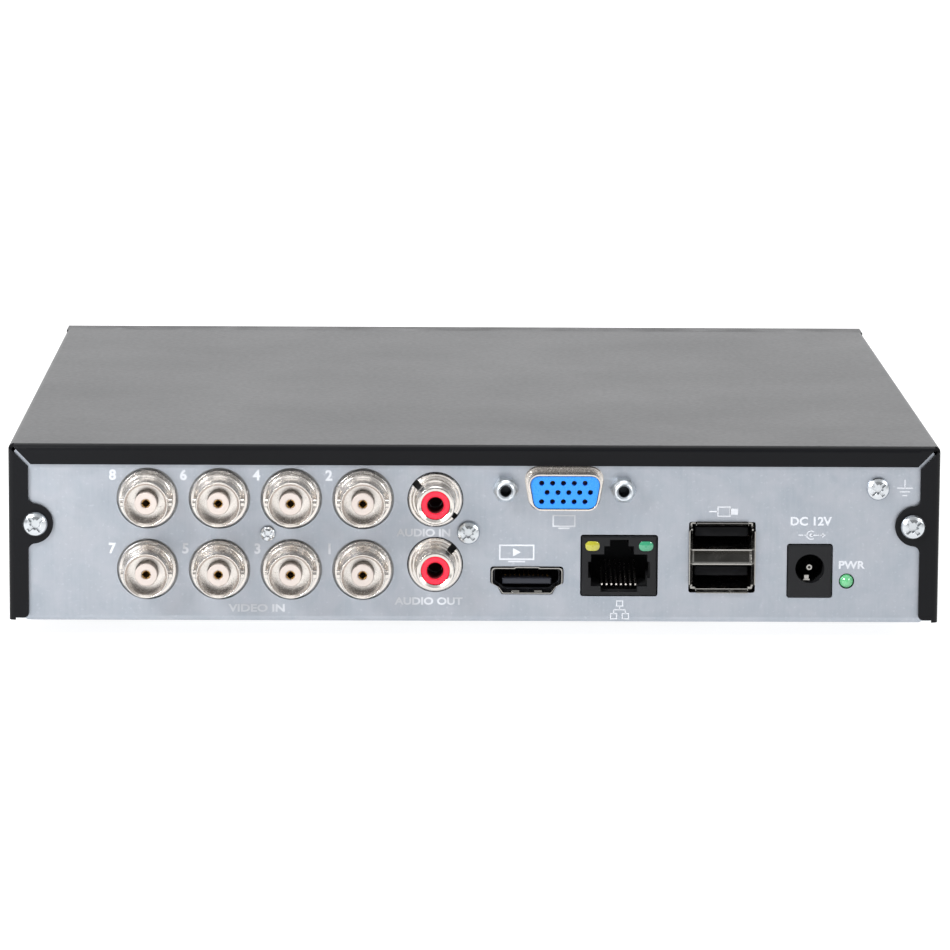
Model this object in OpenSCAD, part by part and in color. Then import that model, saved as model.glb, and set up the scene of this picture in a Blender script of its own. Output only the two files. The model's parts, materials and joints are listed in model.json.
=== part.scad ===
// Eight-channel compact video recorder: a folded steel tray with a slide-off cover, a moulded front bezel,
// coaxial, audio, display, network, data and power sockets at the rear, a main board and a disk drive.
// Millimetres, +Z up, front towards -Y, rear sockets towards +Y, origin at the bottom centre of the unit.

/* [Case] */
// Width over the steel cover
case_w = 197.7; // [197:0.1:198.5]
// Depth from the cover's rear lip to the bezel's front
case_d = 202; // [200:0.5:206]
// Height from the tray's underside to the cover's top
case_h = 38.15; // [37.5:0.05:38.5]
// Thickness of the folded sheet steel
sheet_t = 0.8; // [0.7:0.05:0.9]
// Height of the rubber feet
foot_h = 3.9; // [3:0.1:5]
// Depth of the moulded front bezel
bezel_d = 12; // [11.5:0.1:13]

/* [Cover] */
// Height of the top lip that folds down over the rear panel
lip_h = 4.35; // [4:0.05:4.5]
// Width of the side lips that fold in over the rear panel
side_lip_w = 4.2; // [3.8:0.1:4.6]
// Width of the mitre gap between the lips
mitre_gap = 0.8; // [0.4:0.1:1]
// Radius of the screw tabs
tab_r = 4.3; // [4:0.1:4.6]
// Height of the cover screws above the tray's underside
cover_screw_y = 21.05; // [20:0.1:22]
// Number of vent slots in each side
vent_count = 16; // [8:1:18]

/* [Rear sockets] */
// Distance that a coaxial socket stands out of the panel
bnc_len = 9; // [8.5:0.1:9.5]
// Pitch of the coaxial sockets, across and up
bnc_pitch = 15.24; // [15:0.01:15.3]
// Height of the lower coaxial row above the tray's underside
bnc_row_y = 11.26; // [11:0.01:11.5]
// Distance of the outermost coaxial column from the centre
bnc_first_x = -69.4; // [-70:0.1:-69]
// Distance that an audio socket stands out of the panel
rca_len = 8.3; // [8:0.1:9]
// Distance that the display socket's shell stands out of the panel
vga_len = 5.9; // [5.5:0.1:6.2]

/* [Drive] */
// Length of the disk drive
drive_l = 147; // [147:0.1:147]
// Width of the disk drive
drive_w = 101.6; // [101.6:0.1:101.6]
// Radius of the disks
platter_r = 47.5; // [47:0.1:47.5]
// Thickness of one disk
platter_t = 1.27; // [1:0.01:1.5]

/* [Hidden] */
$fn = 48;

// ---- overall places ----
gap = 0.1;
lip_out = gap + sheet_t;
panel_y = (case_d - lip_out - bnc_len) / 2;
half_w = case_w / 2;
tray_half_w = half_w - sheet_t - 0.5;
bezel_front = lip_out - case_d;
bezel_back = bezel_front + bezel_d;
cover_front = bezel_back + 0.2;
tray_top = case_h - sheet_t - 0.4;
floor_top = sheet_t;
side_wall_h = 14;
bend_r = 1.2;

// ---- rear panel places, seen from behind: x to the right, y up from the tray's underside ----
bnc_xs = [for (i = [0:3]) bnc_first_x + i * bnc_pitch];
bnc_ys = [bnc_row_y, bnc_row_y + bnc_pitch];
bnc_hole_r = 6.55;
rca_x = -8.35;
rca_ys = [12.4, 26.4];
rca_hole_r = 5.95;
vga_at = [19, 28.88];
jack_nut_dx = 12.5;
hdmi_at = [11.2, 9.15];
lan_at = [30.8, 12.3];
usb_at = [52.7, 14];
dc_at = [71.4, 11.3];
dc_bore_dy = 0.55;
led_at = [79.3, 9.1];
ground_screw_at = [85.65, 29.1];
panel_screw_at = [-1.3, 19.35];
block_screw_at = [-43.9, 19];
cover_screw_x = half_w - 5.7;
tab_x = cover_screw_x + 0.55;
screw_r = 1.45;
screw_hole_r = 1.6;

// ---- main board, as seen from behind: z runs outward, so the board has negative z ----
board_top = 5.4;
board_t = 1.6;
board_x = [-83, 87];
board_z = [-74, -1.3];
board_screw_xz = [[-79, -26], [-79, -70], [-2, -28], [83, -70], [83, -22]];
boss_r = 3.2;
pilot_r = 1.25;
vga_board_top = vga_at.y - 6.3;
data_header_at = [-58.5, -62];
power_header_at = [-73.5, -58];
indicator_header_at = [66, -70.5];
riser_header_at = [12, -20.5];
soc_at = [22, -50];
reset_at = [74, -58];

// ---- indicators behind the bezel ----
indicator_xs = [60, 69, 78];
indicator_y = 21;
indicator_board_z = bezel_back - 1.6;
led_len = 5.3;

// ---- disk drive: its own frame has x along its length, y across and z up ----
drive_at = [-86, -33.2, 2.2];
drive_h = 26.1;
drive_floor = 6;
drive_rim = 24.4;
spindle = [52, 0];
pivot = [106, 8];
arm_l = 53;
arm_park_angle = 243.5;
disk_zs = [12, 16];
hub_r = 12.45;
post_r = 3;
running_gap = 0.05;
drive_hole_xs = [105.7, 61.3];
drive_hole_y = 47.6;
sata_y = [-45, -5];

// ---- feet ----
foot_r = 7;
foot_xs = [-80, 80];
foot_ys = [-78, panel_y - 32];

// ---- cable routes in the row frame: x, y, z above the tray's underside ----
data_end = [-data_header_at.x, panel_y + data_header_at.y];
data_route = [
    [74, -46, 7.2], [78, -46, 7.2], [81, -44.8, 7.4], [83.2, -42, 7.8], [84.3, -38, 8.3], [85, -28, 8.8],
    [85.2, -18, 9], [85, -8, 9.3], [84.2, 1, 10.5], [82.5, 9, 13], [79.5, 16, 17], [75.5, 22, 21.5],
    [70.5, 27, 26], [65.5, 31, 29.2], [61.5, 33.3, 30.4], [data_end.x + 0.7, data_end.y, 29.5],
    [data_end.x, data_end.y, 27], [data_end.x, data_end.y, 24.4]
];
power_end = [-power_header_at.x, panel_y + power_header_at.y];
power_route = [
    [76, -66, 7.2], [80, -65.8, 7.2], [84.5, -64, 7.3], [88, -60.5, 7.6], [90.5, -55, 8], [91.5, -46, 8],
    [92, -34, 8], [92, -20, 8], [91.8, -6, 8.3], [91, 5, 9.5], [88.8, 14, 12.5], [84.8, 21.5, 17],
    [80, 27.5, 21], [76, 32, 23.6], [power_end.x + 0.5, 35, 24.2], [power_end.x, 37.2, 23],
    [power_end.x, power_end.y, 20.5], [power_end.x, power_end.y, 18.9]
];
ribbon_route = [for (p = [
    [-92.6, 17.2], [-91.6, 17.2], [-89.6, 18.8], [-88.2, 22], [-87.2, 26], [-84.5, 29], [-79, 29.8],
    [-60, 29.3], [-30, 29.3], [0, 29.3], [14, 29.6], [19.5, 28.3], [22.5, 25], [24.2, 20.5], [25.2, 16.5],
    [25.5, 12.6]
]) [-indicator_header_at.x, p.x, p.y]];

// ---- shared shapes ----
function unit(v) = v / norm(v);

// The points of one corner b of an outline, between its neighbours a and c, rounded to radius r.
function fillet(a, b, c, r, n) =
    r <= 0 ? [[b.x, b.y]] :
    let (
        u = unit([a.x - b.x, a.y - b.y]),
        v = unit([c.x - b.x, c.y - b.y]),
        half = acos(max(-1, min(1, u * v))) / 2,
        centre = [b.x, b.y] + unit(u + v) * r / sin(half),
        p = [b.x, b.y] + u * r / tan(half) - centre,
        q = [b.x, b.y] + v * r / tan(half) - centre,
        start = atan2(p.y, p.x),
        sweep = (atan2(q.y, q.x) - start + 540) % 360 - 180
    )
    [for (i = [0:n]) let (t = start + sweep * i / n) centre + r * [cos(t), sin(t)]];

// An outline of [x, y, corner radius] points, with its corners rounded.
function rounded(c, n = 4) = let (m = len(c)) [
    for (i = [0:m - 1]) each fillet(c[(i + m - 1) % m], c[i], c[(i + 1) % m], c[i][2], n)
];

function rect(w, h, r = 0, at = [0, 0]) = [
    for (s = [[-1, -1], [1, -1], [1, 1], [-1, 1]]) [at.x + s.x * w / 2, at.y + s.y * h / 2, r]
];

// The display socket's outline: wide at the top, with slanted sides.
function d_outline(w, h, r, at = [0, 0]) = [
    [at.x - w / 2, at.y + h / 2, r], [at.x - w / 2 + 0.18 * h, at.y - h / 2, r],
    [at.x + w / 2 - 0.18 * h, at.y - h / 2, r], [at.x + w / 2, at.y + h / 2, r]
];

// The digital display socket's outline: straight sides above, cut in below.
function hdmi_outline(grow) = let (
    w = 7.35 + grow, top = 2.45 + grow, low = -2.7 - grow, foot = 5.1 + 0.6 * grow
) [
    [-w, top, 0.7], [-w, -0.7, 0.5], [-foot - 0.9, -1.45, 0.4], [-foot, low, 0.4],
    [foot, low, 0.4], [foot + 0.9, -1.45, 0.4], [w, -0.7, 0.5], [w, top, 0.7]
];

module rear_frame() translate([0, panel_y, foot_h]) rotate([90, 0, 180]) children();

module base_frame() translate([0, 0, foot_h]) children();

module drive_frame() translate([drive_at.x, drive_at.y, foot_h + drive_at.z]) children();

// A slab between two heights, from an outline of [x, y, radius] corners.
module slab(corners, z0, z1, n = 4) translate([0, 0, z0]) linear_extrude(z1 - z0)
    polygon(rounded(corners, n));

module rod(r, z0, z1) translate([0, 0, z0]) cylinder(r = r, h = z1 - z0);

module ring(r_out, r_in, z0, z1) difference() {
    rod(r_out, z0, z1);
    rod(r_in, z0 - 1, z1 + 1);
}

module block(from, to) translate(from) cube(to - from);

// A part that stands on the main board: x and z across it, heights above its top.
module on_board(at) translate([at.x, board_top, at.y]) rotate([-90, 0, 0]) children();

// An outline of (depth, height) points, drawn out across the case from x0 to x1.
module across(corners, x0, x1, n = 4)
    translate([x0, 0, 0]) rotate([90, 0, 90]) linear_extrude(x1 - x0) polygon(rounded([
        for (c = corners) [c.y, c.x, c[2]]
    ], n));

// A rounded block whose front edges are chamfered by c.
module soft_block(w, h, r, z0, z1, c) intersection() {
    slab(rect(w, h, r), z0, z1);
    across(soft_profile(h, z0, z1, c), -w, w);
    rotate(90) across(soft_profile(w, z0, z1, c), -h, h);
}

function soft_profile(h, z0, z1, c) = [
    for (s = [-1, 1]) for (q = s < 0 ? [[z0, 0], [z1 - c, 0], [z1, c]] : [[z1, c], [z1 - c, 0], [z0, 0]])
        [q.x, s * (h / 2 - q.y), 0]
];

// The direction of a route at its point i, and the sideways directions all along it, carried without twist.
function along(route, i) = unit(route[min(i + 1, len(route) - 1)] - route[max(i - 1, 0)]);

function square_to(v, t) = unit(v - (v * t) * t);

function sideways(route, first) = [
    for (i = 0, s = square_to(first, along(route, 0)); i < len(route);
         i = i + 1, s = i < len(route) ? square_to(s, along(route, i)) : s) s
];

// A solid through equal rings of points, with its two ends closed.
module skin(rings) {
    n = len(rings[0]);
    last = len(rings) - 1;
    polyhedron([for (r = rings) each r], concat(
        [[for (k = [n - 1:-1:0]) k]],
        [for (i = [0:last - 1]) for (k = [0:n - 1]) let (m = (k + 1) % n)
            each [[i * n + k, i * n + m, (i + 1) * n + k], [i * n + m, (i + 1) * n + m, (i + 1) * n + k]]],
        [[for (k = [0:n - 1]) last * n + k]]
    ));
}

// A round lead of radius r swept along a route, moved off it sideways by the given distance.
module lead(route, first, r, off = 0, sides = 8) {
    s = sideways(route, first);
    skin([for (i = [0:len(route) - 1]) let (up = cross(s[i], along(route, i))) [
        for (k = [0:sides - 1]) let (a = 360 * k / sides)
            route[i] + off * s[i] + r * (s[i] * cos(a) + up * sin(a))
    ]]);
}

// A flat strip of width w and thickness t swept along a route.
module strip(route, first, w, t) {
    s = sideways(route, first);
    skin([for (i = [0:len(route) - 1]) let (a = s[i] * w / 2, up = cross(s[i], along(route, i)) * t / 2)
        [route[i] + a - up, route[i] + a + up, route[i] - a + up, route[i] - a - up]
    ]);
}

// A pan-head screw with a cross recess: its head's underside at z = 0, its shank below.
module pan_screw(head_r, head_h, shank_r, shank_l, recess) difference() {
    union() {
        rotate_extrude() polygon([
            [0, 0], [head_r - 0.1, 0], [head_r, 0.15], [head_r, 0.45 * head_h], [0.9 * head_r, 0.72 * head_h],
            [0.68 * head_r, 0.92 * head_h], [0.4 * head_r, head_h], [0, head_h]
        ]);
        rod(shank_r, -shank_l, 0);
    }
    for (a = [40, 130]) rotate(a) slab(rect(2.3 * recess, 0.46 * recess), 0.3 * head_h, head_h + 1);
    rotate(40) slab(rect(recess, recess), 0.15 * head_h, head_h + 1);
}

// ---- sheet metal ----
module screw_boss(at, depth) translate([at.x, at.y, 0]) ring(2.8, 1.5, -sheet_t - depth, -sheet_t);

module rear_cutouts() {
    for (x = bnc_xs) for (y = bnc_ys) translate([x, y, 0]) rod(bnc_hole_r, -3, 1);
    for (y = rca_ys) translate([rca_x, y, 0]) rod(rca_hole_r, -3, 1);
    slab(d_outline(17.9, 9.6, 2.9, vga_at), -3, 1, 6);
    for (s = [-1, 1]) translate([vga_at.x + s * jack_nut_dx, vga_at.y, 0]) rod(1.75, -3, 1);
    translate(hdmi_at) slab(hdmi_outline(0.45), -3, 1);
    slab(rect(16.5, 13.3, 0.6, lan_at), -3, 1);
    slab(rect(14.2, 15.3, 0.5, usb_at + [0, 0.15]), -3, 1);
    slab(rect(9.8, 11.7, 0.6, dc_at), -3, 1);
    translate(led_at) rod(1.65, -3, 1);
    translate(block_screw_at) rod(1.1, -3, 1);
    translate(panel_screw_at) rod(1.5, -3, 1);
    translate(ground_screw_at) rod(1.5, -3, 1);
    for (s = [-1, 1]) translate([s * cover_screw_x, cover_screw_y, 0]) rod(1.5, -3, 1);
    for (s = [-1, 1]) slab([[s * (tray_half_w - 4.2), -1, 0], [s * (tray_half_w + 1), -1, 0],
                            [s * (tray_half_w + 1), 2.6, 0]], -3, 1);
    for (s = [-1, 1]) slab([
        [s * (tray_half_w - 1.4), tray_top + 1, 0], [s * (tray_half_w + 1), tray_top + 1, 0],
        [s * (tray_half_w + 1), tray_top - 1.4, 0]
    ], -3, 1);
}

module floor_cutouts() {
    for (x = foot_xs) for (y = foot_ys) translate([x, y, 0]) rod(2.1, -1, 2);
    for (x = drive_hole_xs) for (s = [-1, 1])
        translate([drive_at.x + x, drive_at.y + s * drive_hole_y, 0]) rod(1.9, -1, 3);
    for (i = [0:9]) for (j = [0:1]) block([-50 + 8 * i, 38 + 22 * j, -1], [-46.8 + 8 * i, 54 + 22 * j, 2]);
}

module chassis_tray() color("lightsteelblue") {
    outer = [[0, 0, 1.2], [0, tray_top, 0], [-sheet_t, tray_top, 0], [-sheet_t, floor_top, 0.4],
             [bezel_back + sheet_t, floor_top, 0.4], [bezel_back + sheet_t, 33, 0], [bezel_back, 33, 0],
             [bezel_back, 0, 1.2]];
    rear_frame() difference() {
        union() {
            across(outer, -tray_half_w, tray_half_w);
            for (s = [-1, 1]) block(
                [s * (tray_half_w - sheet_t / 2) - sheet_t / 2, 1.5, bezel_back + 3],
                [s * (tray_half_w - sheet_t / 2) + sheet_t / 2, side_wall_h, -3]
            );
            for (s = [-1, 1]) block(
                [s * (tray_half_w - sheet_t / 2) - sheet_t / 2, 0, bezel_back + 3],
                [s * (tray_half_w - sheet_t / 2) + sheet_t / 2, 1.5, -3]
            );
            for (s = [-1, 1]) screw_boss([s * cover_screw_x, cover_screw_y], 3);
            screw_boss(ground_screw_at, 2.5);
        }
        rear_cutouts();
        for (x = [-84, -30, 30, 84]) slab(rect(9.2, 3.4, 0, [x, 27.5]), bezel_back - 1, bezel_back + 2);
        slab(rect(12, 5, 0.5, [66, 17.2]), bezel_back - 1, bezel_back + 2);
    }
    base_frame() {
        for (p = board_screw_xz) translate([-p.x, panel_y + p.y, 0])
            ring(boss_r, pilot_r, floor_top, board_top - board_t);
        for (x = drive_hole_xs) for (s = [-1, 1])
            translate([drive_at.x + x, drive_at.y + s * drive_hole_y, 0])
                ring(4.2, 1.9, floor_top, drive_at.z);
    }
}

// The tray's floor holes are cut after its bosses are joined to it.
module finished_tray() difference() {
    chassis_tray();
    base_frame() floor_cutouts();
}

module side_flap() {
    screw = [cover_screw_x, cover_screw_y];
    tab = [tab_x, cover_screw_y];
    edge = half_w - side_lip_w;
    blend_r = 1.5;
    reach = sqrt(pow(tab_r + blend_r, 2) - pow(edge - blend_r - tab.x, 2));
    difference() {
        union() {
            slab([[edge, 0.8, 1], [half_w - 1, 0.8, 0], [half_w - 1, case_h - 0.9, 0],
                  [edge, case_h - 0.9, 0]], gap, lip_out);
            translate(tab) rod(tab_r, gap, lip_out);
            for (s = [0, 1]) translate(tab) mirror([0, s, 0]) difference() {
                x = edge - tab.x;
                slab([[x - blend_r, reach - 1.9, 0], [x + 0.4, reach - 1.9, 0], [x + 0.4, reach, 0],
                      [x - blend_r, reach, 0]], gap, lip_out);
                translate([x - blend_r, reach, 0]) rod(blend_r, gap - 1, lip_out + 1);
            }
        }
        translate(screw) rod(1.7, gap - 1, lip_out + 1);
    }
}

// The bend between a wall at x or y = 0 (outer face) and a lip in front of it, as (depth, height) points.
function bend(outer_r) = [
    [lip_out - outer_r - 0.2, 0, 0], [lip_out, 0, outer_r], [lip_out, -outer_r - 0.2, 0],
    [gap, -outer_r - 0.2, 0], [gap, -sheet_t, 0.2], [lip_out - outer_r - 0.2, -sheet_t, 0]
];

module top_cover() color("dimgray") rear_frame() {
    inner_w = half_w - sheet_t;
    wall_foot = 0.3;
    shell_end = lip_out - bend_r - 0.2;
    difference() {
        union() {
            slab([[-half_w, wall_foot, 0], [-half_w, case_h, bend_r], [half_w, case_h, bend_r],
                  [half_w, wall_foot, 0], [inner_w, wall_foot, 0], [inner_w, case_h - sheet_t, 0.4],
                  [-inner_w, case_h - sheet_t, 0.4], [-inner_w, wall_foot, 0]], cover_front, shell_end, 6);
            across([for (p = bend(bend_r)) [p.x, p.y + case_h, p[2]]], -half_w + 1.2, half_w - 1.2, 6);
            slab([[-half_w + 1.2, case_h - lip_h, 0], [half_w - 1.2, case_h - lip_h, 0],
                  [half_w - 1.2, case_h - 1.2, 0], [-half_w + 1.2, case_h - 1.2, 0]], gap, lip_out);
            for (s = [0, 1]) mirror([s, 0, 0]) {
                side_flap();
                translate([half_w, wall_foot, 0]) rotate([-90, -90, 0])
                    linear_extrude(case_h - 1.2 - wall_foot) polygon(rounded(bend(bend_r), 6));
            }
        }
        for (s = [-1, 1]) translate([s * half_w, case_h, 0]) rotate(s * atan(lip_h / side_lip_w)) slab(
            rect(14, mitre_gap, 0, [0, 0]), shell_end + 0.1, lip_out + 1
        );
        for (i = [0:vent_count - 1]) translate([0, 0, -120 + 5 * i]) {
            block([-half_w - 1, 17, -0.9], [half_w + 1, 29, 0.9]);
            for (y = [17, 29]) translate([-half_w - 1, y, 0]) rotate([0, 90, 0])
                cylinder(r = 0.9, h = case_w + 2);
        }
    }
}

module cover_screws() color("silver") rear_frame() for (s = [-1, 1])
    translate([s * cover_screw_x, cover_screw_y, lip_out]) pan_screw(2.6, 1.7, screw_r, 5.5, 1.7);

module panel_screws() color("silver") rear_frame() for (p = [panel_screw_at, ground_screw_at])
    translate([p.x, p.y, 0]) pan_screw(2.45, 1.6, screw_r, 4.5, 1.6);

module block_screw() color("silver") rear_frame()
    translate([block_screw_at.x, block_screw_at.y, 0]) pan_screw(1.65, 1.1, 0.95, 5, 1.05);

module rubber_feet() color("black") for (x = foot_xs) for (y = foot_ys) translate([x, y, 0]) union() {
    rotate_extrude() polygon([
        [2.5, 0.8], [3.2, 0], [foot_r - 0.8, 0], [foot_r - 0.3, 0.5], [foot_r, foot_h - 0.6],
        [foot_r, foot_h], [0, foot_h], [0, 0.8]
    ]);
    rod(2, foot_h, foot_h + sheet_t);
    translate([0, 0, foot_h + sheet_t]) rotate_extrude()
        polygon([[0, 0], [2.6, 0], [2.6, 0.3], [1.7, 1], [0, 1]]);
}

// ---- front bezel ----
bezel_face = [
    [bezel_back, 0.2, 0], [bezel_front + 3, 0.2, 1.5], [bezel_front, 12.5, 0.8], [bezel_front + 0.5, 13.4, 0],
    [bezel_front + 0.1, 14, 0.3], [bezel_front + 1.6, case_h - 0.2, 1.6], [bezel_back, case_h - 0.2, 0]
];
bezel_hollow = [
    [bezel_back + 1, 2.2, 0], [bezel_front + 4.4, 2.2, 0.5], [bezel_front + 2.4, 12.6, 0.5],
    [bezel_front + 3.6, case_h - 2.3, 0.5], [bezel_back + 1, case_h - 2.3, 0]
];
guide_recess = [46, 5.2];
guide_x = 69;

module front_bezel() color("black") rear_frame() {
    difference() {
        intersection() {
            across(bezel_face, -half_w, half_w);
            translate([0, -1, 0]) rotate([-90, 0, 0]) slab([
                [-half_w, -bezel_back - 1, 0], [half_w, -bezel_back - 1, 0], [half_w, -bezel_front, 2.6],
                [-half_w, -bezel_front, 2.6]
            ], 0, case_h + 2, 6);
        }
        across(bezel_hollow, -half_w + 2, half_w - 2);
        translate([guide_x, indicator_y, 0])
            slab(rect(guide_recess.x, guide_recess.y, 1.2), bezel_front - 1, bezel_front + 1.75);
        for (x = indicator_xs) translate([x, indicator_y, 0]) rod(1.4, bezel_front, bezel_front + 5);
    }
    for (x = [50, 88]) translate([x, indicator_y, 0]) {
        rod(2.2, bezel_front + 2.4, indicator_board_z);
        rod(0.9, indicator_board_z, indicator_board_z + 1.5);
    }
    for (x = [-84, -30, 30, 84]) {
        block([x - 4, 26.2, bezel_front + 2.7], [x + 4, 28, bezel_back + 2.2]);
        block([x - 4, 28, bezel_back + sheet_t + 0.1], [x + 4, 28.9, bezel_back + 2.2]);
    }
}

module light_guide() color("dimgray") rear_frame() {
    slab(rect(guide_recess.x - 0.2, guide_recess.y - 0.2, 1.1, [guide_x, indicator_y]),
         bezel_front + 0.75, bezel_front + 1.75);
    for (x = indicator_xs) translate([x, indicator_y, 0])
        rod(1.3, bezel_front + 1.75, indicator_board_z - led_len - 0.1);
}

module led(z_back) {
    rod(1.5, z_back + 1, z_back + led_len - 1.5);
    translate([0, 0, z_back + led_len - 1.5]) intersection() {
        sphere(r = 1.5);
        rod(2, 0, 3);
    }
    rod(1.8, z_back, z_back + 1);
}

module status_leds() color("lightgreen") rear_frame() {
    translate([led_at.x, led_at.y, 0]) {
        led(0.9 - led_len);
        for (s = [-1, 1]) block(
            [s * 1.1 - 0.25, board_top - led_at.y, 0.9 - led_len - 0.6],
            [s * 1.1 + 0.25, 0.25, 0.9 - led_len]
        );
    }
    for (x = indicator_xs) translate([x, indicator_y, indicator_board_z]) rotate([180, 0, 0]) led(0);
}

module indicator_board() color("darkgreen") rear_frame() difference() {
    slab(rect(44, 12, 0.8, [69, indicator_y - 1.5]), indicator_board_z, indicator_board_z + 1.2);
    for (x = [50, 88]) translate([x, indicator_y, 0]) rod(1, indicator_board_z - 1, indicator_board_z + 2);
}

module indicator_cable() color("lightgray") {
    base_frame() strip(ribbon_route, [1, 0, 0], 7.6, 0.9);
    rear_frame() slab(rect(10.5, 4.4, 0.3, [66, 17.2]), indicator_board_z + 1.3, indicator_board_z + 2.2);
    rear_frame() on_board(indicator_header_at) slab(rect(10.6, 4.6, 0.3), 3.2, 7.2);
}

// ---- coaxial sockets ----
module each_bnc() rear_frame() for (x = bnc_xs) for (y = bnc_ys) translate([x, y, 0]) children();

module bnc_shells() color("silver") each_bnc() difference() {
    union() {
        rotate_extrude() polygon([
            [2.45, -1], [6.15, -1], [6.15, 0.7], [5.95, 0.95], [5.45, 1.05], [5.35, 1.2], [5.35, 1.75],
            [5.15, 1.9], [5.15, 2.3], [4.95, 2.5], [4.95, 3.1], [4.78, 3.25], [4.78, bnc_len - 0.3],
            [4.65, bnc_len], [4.5, bnc_len], [4.08, bnc_len - 0.5], [4.08, 3.8], [2.45, 3.8]
        ]);
        for (s = [-1, 1]) translate([s * 4.5, 0, bnc_len - 3]) rotate([0, s * 90, 0])
            cylinder(r = 0.9, h = 0.95);
    }
    slab([[0.2, 5.55, 0], [2.1, 5.2, 0], [2.15, 5.5, 0], [0.25, 5.85, 0]], 0.8, 1.1);
}

module bnc_insulators() color("white") each_bnc() rotate_extrude() polygon([
    [0, -1], [2.4, -1], [2.4, bnc_len - 1.4], [2.25, bnc_len - 1.2], [1.15, bnc_len - 1.2],
    [0.95, bnc_len - 1.5], [0.95, 0], [0, 0]
]);

module bnc_contacts() color("gold") each_bnc() difference() {
    ring(0.9, 0.72, 0.05, bnc_len - 1.9);
    for (a = [0, 90]) rotate(a) block([-1, -0.14, 3], [1, 0.14, bnc_len]);
}

module bnc_housings() color("dimgray") rear_frame() difference() {
    for (x = bnc_xs) slab(rect(14.8, 29, 0.6, [x, board_top + 14.5]), -16, -1);
    translate([block_screw_at.x, block_screw_at.y, 0]) rod(1, -7, 0);
}

// ---- audio sockets ----
module rca_shells() color("silver") rear_frame() for (i = [0, 1])
    translate([rca_x, rca_ys[i], 0]) difference() {
        rotate_extrude() polygon([
            [3.08, -1], [5.75, -1], [5.75, 0.3], [5.5, 0.6], [5.15, 0.6], [5.05, 0.95], [4.75, 1.2],
            [4.5, 1.2], [4.4, 1.7], [4.1, 2], [4.1, rca_len - 0.35], [3.9, rca_len - 0.05],
            [3.6, rca_len], [3.08, rca_len - 0.35]
        ]);
        rotate(i == 0 ? 45 : 140) block([4.15, -0.75, -2], [6, 0.75, 3]);
        if (i == 1) rotate(-40) block([4.3, -0.6, -2], [6, 0.6, 3]);
    }

module rca_insulators() color("red") rear_frame() for (y = rca_ys) translate([rca_x, y, 0])
    rotate_extrude() polygon([
        [0, -1], [3.03, -1], [3.03, rca_len - 0.6], [2.85, rca_len - 0.4], [1.95, rca_len - 0.4],
        [1.7, rca_len - 0.7], [1.7, -0.4], [0, -0.4]
    ]);

module rca_contacts() color("silver") rear_frame() for (y = rca_ys) translate([rca_x, y, 0])
    ring(1.65, 1.45, -0.4, 0.6);

module rca_housing() color("black") rear_frame() difference() {
    union() {
        slab(rect(13.2, 28, 0.5, [rca_x, board_top + 14]), -13, -1);
        slab([[-2, 14.5, 0], [1.6, 14.5, 0.8], [1.6, 24.5, 0.8], [-2, 24.5, 0]], -6.5, -1);
    }
    translate([panel_screw_at.x, panel_screw_at.y, 0]) rod(1.5, -5.5, 0);
}

// ---- analogue display socket ----
module vga_shell() color("silver") rear_frame() difference() {
    union() {
        slab(rect(30.8, 12.4, 0.8, vga_at), -1.7, -0.9);
        slab(d_outline(17.4, 9.1, 2.65, vga_at), -0.9, 0.4, 6);
        slab(d_outline(16.9, 8.5, 2.45, vga_at), 0.4, 0.9, 6);
        slab(d_outline(16.2, 7.75, 2.2, vga_at), 0.9, vga_len, 6);
    }
    slab(d_outline(15.6, 7.15, 1.9, vga_at), -3, vga_len + 1, 6);
    for (s = [-1, 1]) translate([vga_at.x + s * jack_nut_dx, vga_at.y, 0]) rod(1.75, -3, 1);
}

vga_holes = [
    for (row = [-1:1]) for (i = [-2:2]) vga_at + [2.29 * i + (row == 0 ? 0.8 : -0.35), 1.98 * row]
];

module vga_insert() color("dodgerblue") rear_frame() difference() {
    union() {
        slab(d_outline(15.35, 6.9, 1.8, vga_at), -1.7, vga_len - 0.35, 6);
        slab([[vga_at.x - 15.4, vga_board_top, 0.4], [vga_at.x + 15.4, vga_board_top, 0.4],
              [vga_at.x + 15.4, vga_at.y + 5.6, 0.4], [vga_at.x - 15.4, vga_at.y + 5.6, 0.4]], -10.5, -1.7);
    }
    for (p = vga_holes) translate([p.x, p.y, 0]) rod(0.55, -1.2, vga_len);
    for (s = [-1, 1]) translate([vga_at.x + s * jack_nut_dx, vga_at.y, 0]) rod(1.6, -7, 0);
}

module vga_contacts() color("gold") rear_frame() for (p = vga_holes) translate([p.x, p.y, 0])
    ring(0.5, 0.3, -1.2, 1.2);

module vga_jack_nuts() color("silver") rear_frame() for (s = [-1, 1])
    translate([vga_at.x + s * jack_nut_dx, vga_at.y, 0]) difference() {
        union() {
            intersection() {
                cylinder(r = 2.75, h = 4.9, $fn = 6);
                rotate_extrude() polygon([
                    [0, 0], [2.7, 0], [2.7, 3.2], [2.35, 4.1], [1.9, 4.7], [1.6, 4.9], [0, 4.9]
                ]);
            }
            rod(1.5, -6, 0);
        }
        rod(1.15, -0.5, 6);
        translate([0, 0, 4.4]) cylinder(r1 = 1.15, r2 = 1.65, h = 0.55);
    }

module vga_board() color("darkgreen") rear_frame()
    block([vga_at.x - 16.5, vga_board_top - board_t, -27], [vga_at.x + 16.5, vga_board_top, -1.8]);

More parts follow.
